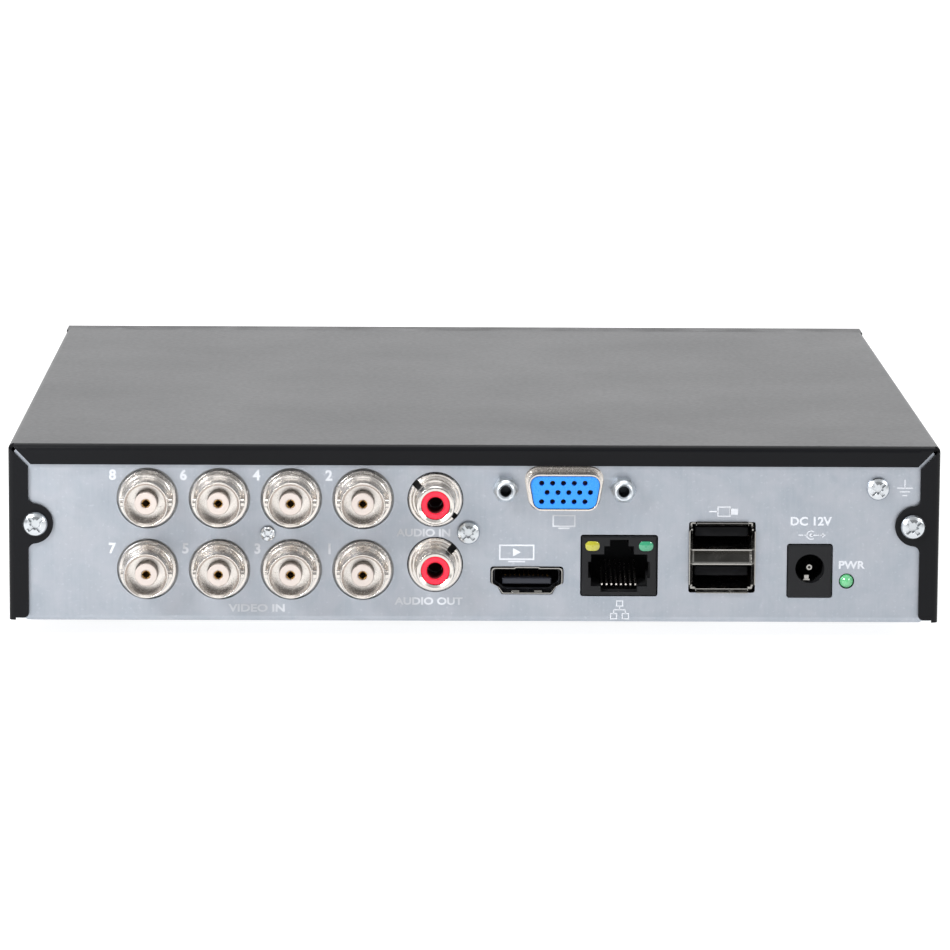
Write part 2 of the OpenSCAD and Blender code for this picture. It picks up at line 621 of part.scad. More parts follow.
// ---- digital display socket ----
module hdmi_shell() color("silver") rear_frame() translate([hdmi_at.x, hdmi_at.y, 0]) {
    difference() {
        union() {
            slab(hdmi_outline(0.2), -11.5, 0.5);
            slab(rect(5.4, 1, 0.25, [0, 2.35]), -3, 0.5);
        }
        slab(hdmi_outline(0), -11, 1);
        slab(rect(5, 1, 0.2, [0, 2.15]), -2.5, 1);
    }
    for (s = [-1, 1]) across(
        [[-2.8, -2.75, 0], [-0.5, -2.75, 0], [-0.65, -2.4, 0.1], [-1.2, -2.2, 0.2], [-2.4, -2.6, 0]],
        2.4 * s - 0.8, 2.4 * s + 0.8
    );
}

module hdmi_tongue() color("black") rear_frame() translate([hdmi_at.x, hdmi_at.y, 0]) {
    difference() {
        slab(hdmi_outline(-0.05), -11, -3.2);
        slab(hdmi_outline(-0.55), -9.5, 1);
    }
    translate([0, -0.4, 0]) soft_block(10.4, 1.25, 0.1, -9.5, -0.7, 0.2);
}

module hdmi_contacts() color("gold") rear_frame() translate([hdmi_at.x, hdmi_at.y - 0.4, 0]) {
    for (i = [0:9]) block([-4.64 + i, 0.63, -9.4], [-4.36 + i, 0.75, -4.5]);
    for (i = [0:8]) block([-4.14 + i, -0.75, -9.4], [-3.86 + i, -0.63, -4.5]);
}

// ---- network socket ----
lan_steps = [[4, 1.4, 4.9], [6.4, 1.75, 3.325], [12, 6.85, -0.975], [13.2, 3.45, -0.875], [7.8, 1.3, -4.95]];

module lan_housing() color("black") rear_frame() difference() {
    translate([lan_at.x, lan_at.y - 0.05, 0]) soft_block(16, 12.8, 0.4, -21, 0.3, 0.3);
    for (s = lan_steps) slab(rect(s.x, s.y + 0.02, 0, lan_at + [0, s[2]]), -13, 1);
    for (s = [-1, 1]) slab(rect(3.15, 2.15, 1, lan_at + [s * 5.7, 4.25]), -6.1, 1, 6);
}

module lan_contacts() color("gold") rear_frame() for (i = [0:7])
    translate([lan_at.x - 3.57 + 1.02 * i, lan_at.y, 0]) across(
        [[-12.9, -5.3, 0], [-4.6, -5.3, 0], [-1.8, -4.65, 0], [-1.6, -4.5, 0], [-1.6, -4.15, 0],
         [-11, -0.6, 0], [-11.1, -0.95, 0], [-2.5, -4.4, 0], [-4.7, -5, 0], [-12.9, -5, 0]], -0.17, 0.17
    );

module lan_light(side) rear_frame() translate([lan_at.x + side * 5.7, lan_at.y + 4.25, 0]) intersection() {
    slab(rect(3.05, 2.05, 0.95), -6.1, 1, 6);
    union() {
        translate([0, 0, -2.3]) sphere(r = 3);
        rod(2.3, -6.1, -2.3);
    }
}

module lan_light_yellow() color("gold") lan_light(-1);

module lan_light_green() color("mediumseagreen") lan_light(1);

// ---- double data socket ----
usb_port_ys = [-3.99, 4.48];
usb_port_h = 5.12;

module usb_shell() color("silver") rear_frame() translate([usb_at.x, usb_at.y, 0]) {
    difference() {
        slab(rect(13.3, 14.4, 0.3, [0, 0.15]), -17.5, 0.3);
        for (y = usb_port_ys) slab(rect(12.6, usb_port_h, 0, [0, y]), -16.5, 1);
        across([[-0.45, -1.12, 0], [1, -1.12, 0], [1, 1.62, 0], [-1.5, 1.62, 0]], -6.3, 6.3);
        for (x = [-1, 1]) for (y = [-1, 1]) slab(rect(2.1, 2.1, 0, [x * 6.65, 0.15 + y * 7.2]), -2, 1);
    }
    for (s = [0, 180]) rotate(s) {
        translate([6.65, s == 0 ? 0.15 : -0.15, 0]) guide_lip(11.6);
        translate([0, s == 0 ? 7.35 : 7.05, 0]) rotate(90) guide_lip(11);
    }
}

// A thin lip that leans outward along a shell's edge, centred on it and facing +x.
module guide_lip(length) rotate([90, 0, 0]) translate([0, 0, -length / 2]) linear_extrude(length)
    polygon([[-0.34, 0.1], [0, 0.1], [0.08, 0.25], [0.42, 1.1], [0.22, 1.2], [-0.34, 0.35]]);

module usb_tongues() color("black") rear_frame()
    for (y = usb_port_ys) translate([usb_at.x, usb_at.y + y, 0]) {
        slab(rect(11.2, 1.9, 0.2, [0, 0.75]), -15, -2.8);
        slab(rect(12.5, usb_port_h - 0.1, 0), -16.5, -15);
    }

module usb_contacts() color("gold") rear_frame() for (y = usb_port_ys)
    for (x = [-3.5, -1, 1, 3.5]) translate([usb_at.x + x, usb_at.y + y, 0])
        block([-0.5, -0.35, -14.9], [0.5, -0.2, -4.2]);

// ---- power socket ----
module dc_housing() color("black") rear_frame() translate([dc_at.x, dc_at.y, 0]) difference() {
    soft_block(9.4, 11.3, 0.5, -14, 0.6, 0.35);
    translate([0, dc_bore_dy, 0]) rod(3.1, -10, 1);
}

module dc_pin() color("silver") rear_frame() translate([dc_at.x, dc_at.y + dc_bore_dy, 0])
    rotate_extrude() polygon([
        [0, -10], [1, -10], [1, -2.6], [0.68, -1.3], [0.6, -1.2], [0.3, -1.2], [0.3, -3], [0, -3]
    ]);

module dc_spring() color("silver") rear_frame() translate([dc_at.x - 0.57, dc_at.y + dc_bore_dy, 0]) {
    across([[-9.9, -2.75, 0], [-0.9, -2.75, 0], [-0.9, -2.45, 0], [-9.9, -2.45, 0]], -0.68, 0.68);
    across([[-6, -2.45, 0], [-1, -2.45, 0], [-1, -1.6, 0.1], [-1.35, -1.45, 0.1]], -0.48, 0.48);
}

// ---- main board and what stands on it ----
module mainboard() color("darkgreen") rear_frame() difference() {
    block([board_x[0], board_top - board_t, board_z[0]], [board_x[1], board_top, board_z[1]]);
    for (p = board_screw_xz) translate([p.x, 0, p.y]) rotate([-90, 0, 0]) cylinder(r = screw_hole_r, h = 10);
}

module board_screws() color("silver") rear_frame() for (p = board_screw_xz) on_board(p)
    pan_screw(2.7, 1.7, 1.2, 4, 1.7);

module processor() color("black") rear_frame() on_board(soc_at) {
    slab(rect(27, 27, 0.3), 0.4, 1.4);
    slab(rect(23, 23, 0.5), 1.4, 2.3);
    slab(rect(25, 25), 0, 0.4);
}

module heat_sink() color("darkgray") rear_frame() on_board(soc_at) {
    slab(rect(37, 37, 0.6), 2.3, 4.8);
    for (i = [0:9]) block([-18.5 + 4 * i, -18.5, 4.8], [-17.5 + 4 * i, 18.5, 14.5]);
}

chips = [
    [-62, -36, 14, 14, 1.4], [-34, -36, 14, 14, 1.4], [-12, -40, 7, 7, 1], [52, -36, 9, 13.5, 1.1],
    [52, -52, 9, 13.5, 1.1], [48, -66, 8, 5.2, 1.7], [34, -27, 12.5, 7.6, 2.4], [-46, -54, 10, 6, 1.6],
    [62, -28, 6, 5, 1.5], [-12, -66, 5, 4.4, 1.3]
];

module board_chips() color("dimgray") rear_frame() for (c = chips) on_board([c.x, c.y])
    slab(rect(c[2], c[3], 0.2), 0.1, c[4]);

module inductors() color("gray") rear_frame()
    for (p = [[70, -25], [70, -36], [62, -44], [-3, -62]]) on_board(p) {
        slab(rect(7, 7, 1), 0, 3.6);
        rod(2.9, 3.6, 4);
    }

module capacitors() color("silver") rear_frame()
    for (c = [[79, -34, 4, 10], [79, -44, 4, 10], [61, -36, 3.15, 7.7], [56.5, -65, 3.15, 7.7],
              [-24, -28, 2.5, 5.4], [-48, -28, 2.5, 5.4]]) on_board([c.x, c.y])
        rotate_extrude() polygon([
            [0, 0], [c[2], 0], [c[2], 1.4], [c[2] - 0.25, 1.7], [c[2] - 0.25, 1.9], [c[2], 2.2],
            [c[2], c[3] - 0.4], [c[2] - 0.4, c[3]], [0, c[3]]
        ]);

module coin_cell() color("silver") rear_frame() on_board([-28, -60]) {
    rod(10, 0.4, 3);
    rod(8.9, 3, 3.6);
    block([-2, -12.5, 0], [2, -9.5, 1]);
    block([-2, 9.5, 0], [2, 12.5, 1]);
}

module buzzer() color("black") rear_frame() on_board([-45, -66]) difference() {
    rod(4.5, 0, 6);
    rod(1, 4.5, 7);
}

module board_headers() color("white") rear_frame() {
    on_board(data_header_at) difference() {
        slab(rect(15.6, 6.4, 0.3), 0, 8);
        slab(rect(12.6, 3.6, 0), 2, 9);
    }
    on_board(data_header_at) slab(rect(9.4, 1.2, 0, [0, 0.3]), 2, 7.5);
    on_board(power_header_at) difference() {
        slab(rect(11.4, 5.8, 0.3), 0, 7);
        slab(rect(9.8, 4.2, 0), 1.5, 8);
    }
    on_board(indicator_header_at) difference() {
        slab(rect(12.4, 6.2, 0.3), 0, 5);
        slab(rect(10.8, 4.8, 0), 1, 6);
    }
    on_board(riser_header_at) slab(rect(15.2, 5), 0, vga_board_top - board_t - board_top);
}

module reset_switch() color("black") rear_frame() on_board(reset_at) difference() {
    slab(rect(6, 6, 0.4), 0, 3.6);
    rod(1.8, 1.2, 4);
}

module reset_button() color("firebrick") rear_frame() on_board(reset_at) rod(1.75, 1.6, 5);

// ---- disk drive ----
module drive_base() color("silver") drive_frame() difference() {
    slab([[0, -drive_w / 2, 3], [drive_l, -drive_w / 2, 2], [drive_l, drive_w / 2, 2], [0, drive_w / 2, 3]],
         0, drive_rim);
    difference() {
        union() {
            translate(spindle) rod(48.4, drive_floor, drive_rim + 1);
            slab([[62, -46, 4], [136, -46, 5], [136, 46, 5], [62, 46, 4]], drive_floor, drive_rim + 1);
        }
        translate(spindle) rod(post_r, 0, 10);
        translate(pivot) rod(post_r, 0, 21);
    }
    slab([[56, -47, 1], [148, -47, 0], [148, 44, 0], [56, 44, 1]], -1, 2.2);
    slab([[139, sata_y[0] - 1, 0], [148, sata_y[0] - 1, 0], [148, sata_y[1] + 1, 0], [139, sata_y[1] + 1, 0]],
         -1, 8.5);
    for (x = drive_hole_xs) for (s = [-1, 1]) translate([x, s * drive_hole_y, 0]) rod(1.65, -1, 5.2);
}

module drive_lid() color("gainsboro") drive_frame() {
    slab([[1.2, -49.6, 3], [drive_l - 1.2, -49.6, 3], [drive_l - 1.2, 49.6, 3], [1.2, 49.6, 3]],
         drive_rim, drive_rim + 0.8);
    translate(spindle) ring(40, 17, drive_rim + 0.8, drive_rim + 1.1);
}

lid_screw_at = [[6, -45], [6, 45], [70, 47.5], [141, 45], [141, -45], [70, -47.5]];

module drive_lid_screws() color("silver") drive_frame() for (p = lid_screw_at)
    translate([p.x, p.y, drive_rim + 0.8]) difference() {
        rod(2.4, 0, 0.9);
        cylinder(r = 1.1, h = 4, $fn = 6);
    }

module drive_platters() color("lightgray") drive_frame() for (z = disk_zs)
    translate([spindle.x, spindle.y, 0]) ring(platter_r, hub_r + 0.05, z, z + platter_t);

module drive_hub() color("gray") drive_frame() translate([spindle.x, spindle.y, 0]) {
    difference() {
        union() {
            rod(hub_r, drive_floor + 0.3, disk_zs[1] + platter_t);
            rod(15, 9.5, disk_zs[0]);
        }
        rod(post_r + running_gap, 0, 10.4);
    }
    ring(15, hub_r + 0.05, disk_zs[0] + platter_t, disk_zs[1]);
    ring(15.5, 4, disk_zs[1] + platter_t, disk_zs[1] + platter_t + 1.4);
}

function polar(r, a) = [r * cos(a), r * sin(a)];

module drive_arm() color("silver") drive_frame() translate([pivot.x, pivot.y, 0]) {
    difference() {
        rod(6.8, 9, 20.4);
        rod(post_r + running_gap, 0, 30);
    }
    difference() {
        for (z = [10.5, 14.25, 17.95]) slab([
            concat(polar(7, arm_park_angle - 60), 1), concat(polar(24, arm_park_angle - 9), 2),
            concat(polar(arm_l, arm_park_angle - 1.6), 0.6), concat(polar(arm_l + 2, arm_park_angle), 0.6),
            concat(polar(arm_l, arm_park_angle + 1.6), 0.6), concat(polar(24, arm_park_angle + 9), 2),
            concat(polar(7, arm_park_angle + 60), 1)
        ], z, z + 0.8);
        rod(post_r + running_gap, 0, 30);
        for (r = [13, 21]) rotate(arm_park_angle) translate([r, 0, 0]) rod(1.4, 0, 30);
    }
    difference() {
        slab([
            concat(polar(5, arm_park_angle + 110), 0), concat(polar(26, arm_park_angle + 158), 2),
            concat(polar(27, arm_park_angle + 180), 8), concat(polar(26, arm_park_angle + 202), 2),
            concat(polar(5, arm_park_angle + 250), 0)
        ], 13, 15);
        rod(post_r + running_gap, 0, 30);
        slab([
            concat(polar(13, arm_park_angle + 168), 1), concat(polar(21, arm_park_angle + 166), 1),
            concat(polar(21, arm_park_angle + 194), 1), concat(polar(13, arm_park_angle + 192), 1)
        ], 10, 18);
    }
}

module drive_magnets() color("silver") drive_frame() translate([pivot.x, pivot.y, 0]) {
    sector = concat([for (a = [14:10:104]) polar(29.4, a)], [for (a = [104:-10:14]) polar(12, a)]);
    for (z = [[drive_floor, 11.8], [16.2, 20]]) translate([0, 0, z[0]])
        linear_extrude(z[1] - z[0]) polygon(sector);
    for (a = [18, 100]) translate([polar(28.1, a).x, polar(28.1, a).y, 0]) rod(1.1, drive_floor, 20);
}

module drive_board() color("darkgreen") drive_frame() {
    slab([[57, -46, 1], [138.5, -46, 0], [138.5, 43, 0], [57, 43, 1]], 0.5, 1.7);
    block([138.5, sata_y[0], 0.5], [146.8, sata_y[1], 1.7]);
    for (y = [[sata_y[0] + 1, -20.5], [-18, sata_y[1] - 1]]) difference() {
        block([139.5, y[0], 1.7], [146.8, y[1], 7.5]);
        block([142, y[0] + 1.2, 3], [148, y[1] - 1.2, 6.2]);
    }
}

module drive_screws() color("silver") for (x = drive_hole_xs) for (s = [-1, 1])
    translate([drive_at.x + x, drive_at.y + s * drive_hole_y, foot_h]) rotate([180, 0, 0])
        pan_screw(3.4, 1.6, 1.55, 6.8, 1.9);

// ---- leads inside the case ----
module data_cable() color("black") {
    base_frame() lead(data_route, [0, -1, 0], 2);
    base_frame() block([data_route[0].x - 11.5, -52, 4.2], [data_route[0].x, -40, 9.8]);
    rear_frame() on_board(data_header_at) slab(rect(15, 6, 0.5), 8.1, 19.1);
}

module power_cable() color("black") {
    base_frame() for (off = [-2.7, -0.9, 0.9, 2.7]) lead(power_route, [0, -1, 0], 0.8, off);
    base_frame() block([61.3, -77.5, 4.2], [power_route[0].x, -54.6, 9.8]);
    rear_frame() on_board(power_header_at) slab(rect(9.4, 3.8, 0.2), 2, 13.6);
}

// ---- one line a node ----
finished_tray();  // chassis_tray
top_cover();
cover_screws();
front_bezel();
light_guide();
rubber_feet();
panel_screws();
block_screw();
bnc_shells();
bnc_insulators();
bnc_contacts();
bnc_housings();
rca_shells();
rca_insulators();
rca_contacts();
rca_housing();
vga_shell();
vga_insert();
vga_contacts();
vga_jack_nuts();
vga_board();
hdmi_shell();
hdmi_tongue();
hdmi_contacts();
lan_housing();
lan_contacts();
lan_light_yellow();
lan_light_green();
usb_shell();
usb_tongues();
usb_contacts();
dc_housing();
dc_pin();
dc_spring();
status_leds();
mainboard();
board_screws();
processor();
heat_sink();
board_chips();
inductors();
capacitors();
coin_cell();
buzzer();
board_headers();
reset_switch();
reset_button();
indicator_board();
indicator_cable();
drive_base();
drive_lid();
drive_lid_screws();
drive_platters();
drive_hub();
drive_arm();
drive_magnets();
drive_board();
drive_screws();
data_cable();
power_cable();
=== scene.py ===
"""The looks of the eight-channel video recorder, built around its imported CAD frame."""
import json
import math
import random

import bmesh
import bpy
from mathutils import Matrix, Vector


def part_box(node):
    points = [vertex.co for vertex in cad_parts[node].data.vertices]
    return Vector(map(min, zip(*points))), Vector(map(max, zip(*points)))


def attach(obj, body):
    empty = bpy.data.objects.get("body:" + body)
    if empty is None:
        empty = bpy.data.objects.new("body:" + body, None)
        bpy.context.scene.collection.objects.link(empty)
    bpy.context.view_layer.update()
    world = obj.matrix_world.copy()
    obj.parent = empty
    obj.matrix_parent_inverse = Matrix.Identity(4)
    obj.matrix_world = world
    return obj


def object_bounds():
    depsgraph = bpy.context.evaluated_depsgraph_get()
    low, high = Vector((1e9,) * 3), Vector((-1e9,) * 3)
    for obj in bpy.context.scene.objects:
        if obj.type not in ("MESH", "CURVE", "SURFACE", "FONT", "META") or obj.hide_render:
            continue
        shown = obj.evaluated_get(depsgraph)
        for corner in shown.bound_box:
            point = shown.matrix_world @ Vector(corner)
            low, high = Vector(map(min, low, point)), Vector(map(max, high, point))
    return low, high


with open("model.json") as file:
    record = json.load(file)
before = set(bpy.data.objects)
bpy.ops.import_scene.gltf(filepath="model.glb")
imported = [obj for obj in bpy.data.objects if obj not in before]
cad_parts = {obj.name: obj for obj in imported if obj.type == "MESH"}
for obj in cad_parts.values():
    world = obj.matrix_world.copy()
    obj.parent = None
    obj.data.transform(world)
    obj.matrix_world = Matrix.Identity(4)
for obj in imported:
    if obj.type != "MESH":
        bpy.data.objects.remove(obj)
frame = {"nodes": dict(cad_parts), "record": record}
CAD_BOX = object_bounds()
NODES = frame["nodes"]
MM = 0.001

# ---- places ----
FLOOR_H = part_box("chassis_tray")[0].z                  # the tray's underside
LIP_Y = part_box("top_cover")[1].y                       # the outer face of the cover's rear lips
LIP_OUT = 0.9                                          # millimetres from the rear panel out to the lips
PANEL_Y = LIP_Y - LIP_OUT * MM                         # the outer face of the rear panel
CASE_DEPTH = 202.0                                     # millimetres from the lips to the bezel's front
BOARD_TOP = 5.4                                        # the main board's upper face, millimetres up
DISPLAY_BOARD_TOP = 22.58                              # the same for the small display socket board
DRIVE_MID = -33.2                                      # the drive's middle line, millimetres along y
LID_RING = 0.3                                         # the ring raised on the drive's lid, millimetres


def rear(x, y, z=0.0):
    """A point on the rear panel seen from behind: x right, y up from the tray, z out, in millimetres."""
    return Vector((-x * MM, PANEL_Y + z * MM, FLOOR_H + y * MM))


def over_tray(x, y, h):
    """A point in metres across and along the tray and in millimetres above it."""
    return Vector((x, y, FLOOR_H + h * MM))


# the places whose colour or finish differs from the rest of their piece, some of them partly through painted
# shade or a painted sheen: axes, and boxes given by two corners
DISPLAY_POSTS = [rear(19 + s * 12.5, 28.88) for s in (-1, 1)]
AUDIO_AXES = [rear(-8.35, y) for y in (12.4, 26.4)]
DATA_SOCKET_PLATE = (rear(52.7 - 5.9, 13.05, -3), rear(52.7 + 5.9, 15.5, 0.1))
DISPLAY_TONGUE = (rear(4.2, 5.15, -4), rear(18.2, 13.15, 0.5))
DATA_PLUGS = ((over_tray(0.0624, -0.0522, 4.0), over_tray(0.07405, -0.0398, 10.0)),
              (rear(-66.2, 13.4, -65.2), rear(-50.8, 24.55, -58.8)))
WIRE_PLUGS = ((over_tray(0.0612, -0.0777, 4.0), over_tray(0.07605, -0.0544, 10.0)),
              (rear(-78.4, 7.3, -60.1), rear(-68.6, 19.05, -55.9)))

# ---- camera: fitted to the cover's edges in the photograph ----
YAW, PITCH, ROLL = 0.0141, 0.15632, 0.0058             # radians
EYE = Vector((15.08 * MM, LIP_Y + 1070.7 * MM, FLOOR_H + 200.6 * MM))
FOCAL_PX, PHOTO_PX, SENSOR = 5114.7, 950, 36


def make_camera():
    cy, sy, cp, sp, cr, sr = (f(a) for a in (YAW, PITCH, ROLL) for f in (math.cos, math.sin))
    right = Vector((cy, -sy, 0))
    ahead = Vector((cp * sy, cp * cy, -sp))
    up = Vector((sp * sy, sp * cy, cp))
    right, up = cr * right + sr * up, cr * up - sr * right
    cols = [Vector((-v.x, -v.y, v.z)) for v in (right, up, -ahead)]
    cam = bpy.data.objects.new("camera", bpy.data.cameras.new("camera"))
    bpy.context.scene.collection.objects.link(cam)
    m = Matrix((cols[0], cols[1], cols[2])).transposed().to_4x4()
    m.translation = EYE
    cam.matrix_world = m
    cam.data.sensor_width = SENSOR
    cam.data.lens = FOCAL_PX / PHOTO_PX * SENSOR
    cam.data.clip_start, cam.data.clip_end = 0.05, 60
    bpy.context.scene.camera = cam


make_camera()


# ---- shader graphs ----
MATERIALS = {}


class Graph:
    """A material's node graph, with short ways to add nodes to it. It is kept in MATERIALS under its name."""

    def __init__(self, name):
        self.m = bpy.data.materials.new(name)
        MATERIALS[name] = self.m
        self.m.use_nodes = True
        self.t = self.m.node_tree
        self.bsdf = self.t.nodes["Principled BSDF"]

    def n(self, kind, inputs=None, **props):
        node = self.t.nodes.new("ShaderNode" + kind)
        for k, v in props.items():
            setattr(node, k, v)
        for k, v in (inputs or {}).items():
            self.put(node.inputs[k], v)
        return node

    def put(self, socket, value):
        if isinstance(value, bpy.types.NodeSocket):
            self.t.links.new(value, socket)
        else:
            socket.default_value = value

    def math(self, op, a, b=0.0):
        return self.n("Math", {0: a, 1: b}, operation=op).outputs[0]

    def place(self, stretch=(1, 1, 1)):
        """The object's own coordinates, stretched."""
        if not hasattr(self, "coords"):
            self.coords = self.n("TexCoord").outputs["Object"]
        return self.n("Mapping", {"Vector": self.coords, "Scale": stretch}).outputs[0]

    def noise(self, scale, detail=3.0, rough=0.55, stretch=(1, 1, 1), distort=0.0):
        return self.n("TexNoise", {"Vector": self.place(stretch), "Scale": scale, "Detail": detail,
                                   "Roughness": rough, "Distortion": distort}).outputs[0]

    def ramp(self, fac, stops):
        r = self.n("ValToRGB", {0: fac})
        e = r.color_ramp.elements
        while len(e) < len(stops):
            e.new(0.5)
        for s, (pos, col) in zip(e, stops):
            s.position = pos
            s.color = (*col, 1)
        return r.outputs[0]

    def span(self, fac, lo, hi, a=0.3, b=0.7):
        """lo to hi as fac goes from a to b."""
        return self.n("MapRange", {"Value": fac, "From Min": a, "From Max": b,
                                   "To Min": lo, "To Max": hi}).outputs[0]

    def mix(self, fac, a, b):
        node = self.n("Mix", data_type="RGBA")
        for s, v in ((0, fac), (6, a), (7, b)):
            self.put(node.inputs[s], (*v, 1) if isinstance(v, tuple) and len(v) == 3 else v)
        return node.outputs[2]

    def within(self, centres, r0, r1):
        """0 inside r0 millimetres of the nearest of these axes through the rear panel, 1 beyond r1."""
        xyz = self.n("SeparateXYZ", {0: self.place()})
        best = 1.0
        for c in centres:
            du, dv = (self.math("SUBTRACT", xyz.outputs[i], v) for i, v in ((0, c.x), (2, c.z)))
            squares = [self.math("MULTIPLY", d, d) for d in (du, dv)]
            best = self.math("MINIMUM", self.math("SQRT", self.math("ADD", *squares)), best)
        return self.n("MapRange", {"Value": best, "From Min": r0 * MM, "From Max": r1 * MM}).outputs[0]

    def inside(self, lo, hi):
        """1 inside a box given by two points, 0 outside."""
        xyz = self.n("SeparateXYZ", {0: self.place()})
        every = 1.0
        for i in range(3):
            a, b = sorted((lo[i], hi[i]))
            off = self.math("ABSOLUTE", self.math("SUBTRACT", xyz.outputs[i], (a + b) / 2))
            every = self.math("MULTIPLY", every, self.math("LESS_THAN", off, (b - a) / 2))
        return every

    def bump(self, *layers, edge=0.0):
        """Layers of (height socket, depth in metres), over rounded edges if edge is a radius."""
        normal = self.n("Bevel", {"Radius": edge}, samples=4).outputs[0] if edge else None
        for height, depth in layers:
            b = self.n("Bump", {"Height": height, "Distance": depth, "Strength": 1.0})
            if normal is not None:
                self.put(b.inputs["Normal"], normal)
            normal = b.outputs[0]
        if normal is not None:
            self.put(self.bsdf.inputs["Normal"], normal)

    def set(self, **values):
        names = {"color": "Base Color", "metal": "Metallic", "rough": "Roughness", "ior": "IOR",
                 "coat": "Coat Weight", "coat_rough": "Coat Roughness", "level": "Specular IOR Level",
                 "glow": "Emission Color", "glow_by": "Emission Strength"}
        for k, v in values.items():
            self.put(self.bsdf.inputs[names[k]], (*v, 1) if isinstance(v, tuple) and len(v) == 3 else v)


def shade(c, k):
    return tuple(min(1.0, x * k) for x in c)


def metal(name, color, rough, grain=2200.0, stretch=(1, 1, 1), depth=1.2e-6, mottle=0.06, spread=0.08,
          edge=5e-5):
    """Bare or plated metal: mottled tone, uneven roughness, fine grain and faint scratches."""
    g = Graph(name)
    big = g.noise(60, 4)
    fine = g.noise(grain, 2, stretch=stretch)
    tone = g.ramp(big, [(0.3, shade(color, 1 - mottle)), (0.7, shade(color, 1 + mottle))])
    smear = g.noise(320, 3, distort=1.2)
    g.set(color=tone, metal=1.0, rough=g.math("ADD", g.span(smear, rough - spread, rough + spread),
                                              g.span(fine, -0.03, 0.03)))
    scratch = g.noise(900, 2, stretch=(1, 14, 1))
    g.bump((fine, depth), (g.span(scratch, 0, 1, 0.62, 0.7), -depth * 0.4), edge=edge)
    return g


def plastic(name, color, rough, grain=3000.0, depth=6e-6, mottle=0.12, spread=0.06, edge=1e-4, **more):
    """Moulded plastic: a fine-grained skin with slight flow marks."""
    g = Graph(name)
    flow = g.noise(90, 3, distort=0.8)
    skin = g.noise(grain, 3, 0.6)
    tone = g.ramp(flow, [(0.3, shade(color, 1 - mottle)), (0.7, shade(color, 1 + mottle))])
    uneven = g.math("ADD", g.span(flow, rough - spread, rough + spread), g.span(skin, -0.04, 0.04))
    g.set(color=tone, rough=uneven, **more)
    g.bump((skin, depth), edge=edge)
    return g


# Powder coat: fine leathery grain over a satin black.
g = Graph("black_powder_coat")
pebble = g.n("TexVoronoi", {"Vector": g.place(), "Scale": 2400.0}, feature="SMOOTH_F1").outputs[0]
peel = g.noise(900, 3)
cloud = g.noise(25, 3)
g.set(color=g.ramp(cloud, [(0.3, (0.0018, 0.0020, 0.0030)), (0.7, (0.0026, 0.0029, 0.0040))]),
      rough=g.math("ADD", g.span(peel, 0.33, 0.37), g.span(cloud, -0.015, 0.015)), ior=1.26)
g.bump((peel, 1.2e-6), (pebble, 1.5e-6), edge=1.5e-4)

# Zinc-coated sheet: soft grey-blue patches with a faint crystal spangle and rolling marks.
g = Graph("zinc_plate")
patch = g.noise(50, 4, 0.6, distort=1.2)
blot = g.noise(210, 3, 0.6, distort=0.8)
flower = g.n("TexVoronoi", {"Vector": g.place(), "Scale": 300.0, "Randomness": 1.0}, feature="F1")
crystal = g.n("SeparateColor", {0: flower.outputs["Color"]}).outputs[0]
roll = g.noise(1500, 2, stretch=(1, 1, 0.06))
tone = g.ramp(patch, [(0.3, (0.335, 0.368, 0.415)), (0.5, (0.365, 0.395, 0.44)),
                      (0.7, (0.395, 0.418, 0.458))])
tone = g.mix(g.span(blot, 0.0, 0.3, 0.45, 0.7), tone, (0.47, 0.475, 0.52))
tone = g.mix(g.span(blot, 0.3, 0.0, 0.3, 0.48), tone, (0.31, 0.355, 0.40))
tone = g.mix(g.span(roll, 0.0, 0.25, 0.35, 0.65), tone, (0.43, 0.45, 0.49))
tone = g.mix(g.span(crystal, 0.0, 0.10, 0, 1), tone, (0.52, 0.55, 0.60))
speck = g.noise(1300, 2)
tone = g.mix(g.span(speck, 0, 0.12, 0.62, 0.72), tone, (0.80, 0.82, 0.86))
uneven = g.math("ADD", g.span(crystal, 0.40, 0.46, 0, 1), g.span(patch, -0.04, 0.04))
g.set(color=tone, metal=1.0, rough=uneven)
g.bump((patch, 1.6e-5), (roll, 1.5e-6), (crystal, 5e-7))

g = metal("zinc_screw", (0.56, 0.585, 0.61), 0.27, mottle=0.10, depth=1e-6, spread=0.03)
# the two display posts are paler and rougher than the screws; their holes are painted dark inside, a painted
# shade
tone = g.ramp(g.noise(60, 4), [(0.3, (0.50, 0.53, 0.55)), (0.7, (0.62, 0.64, 0.67))])
off_post = g.within(DISPLAY_POSTS, 4, 4.1)
g.set(color=g.mix(g.within(DISPLAY_POSTS, 1.12, 1.25), (0.05, 0.056, 0.064),
                  g.mix(off_post, (0.64, 0.68, 0.72), tone)),
      rough=g.span(off_post, 0.38, 0.27, 0, 1))
metal("nickel_plate", (0.655, 0.62, 0.585), 0.25, spread=0.012, mottle=0.04, depth=3e-7)
metal("gold_plate", (0.42, 0.235, 0.07), 0.28)
metal("grey_zinc_casting", (0.33, 0.335, 0.34), 0.45, grain=1500, depth=1.2e-5)
g = metal("tin_plate", (0.33, 0.322, 0.305), 0.20, stretch=(1, 1, 6), depth=1e-6, mottle=0.12)
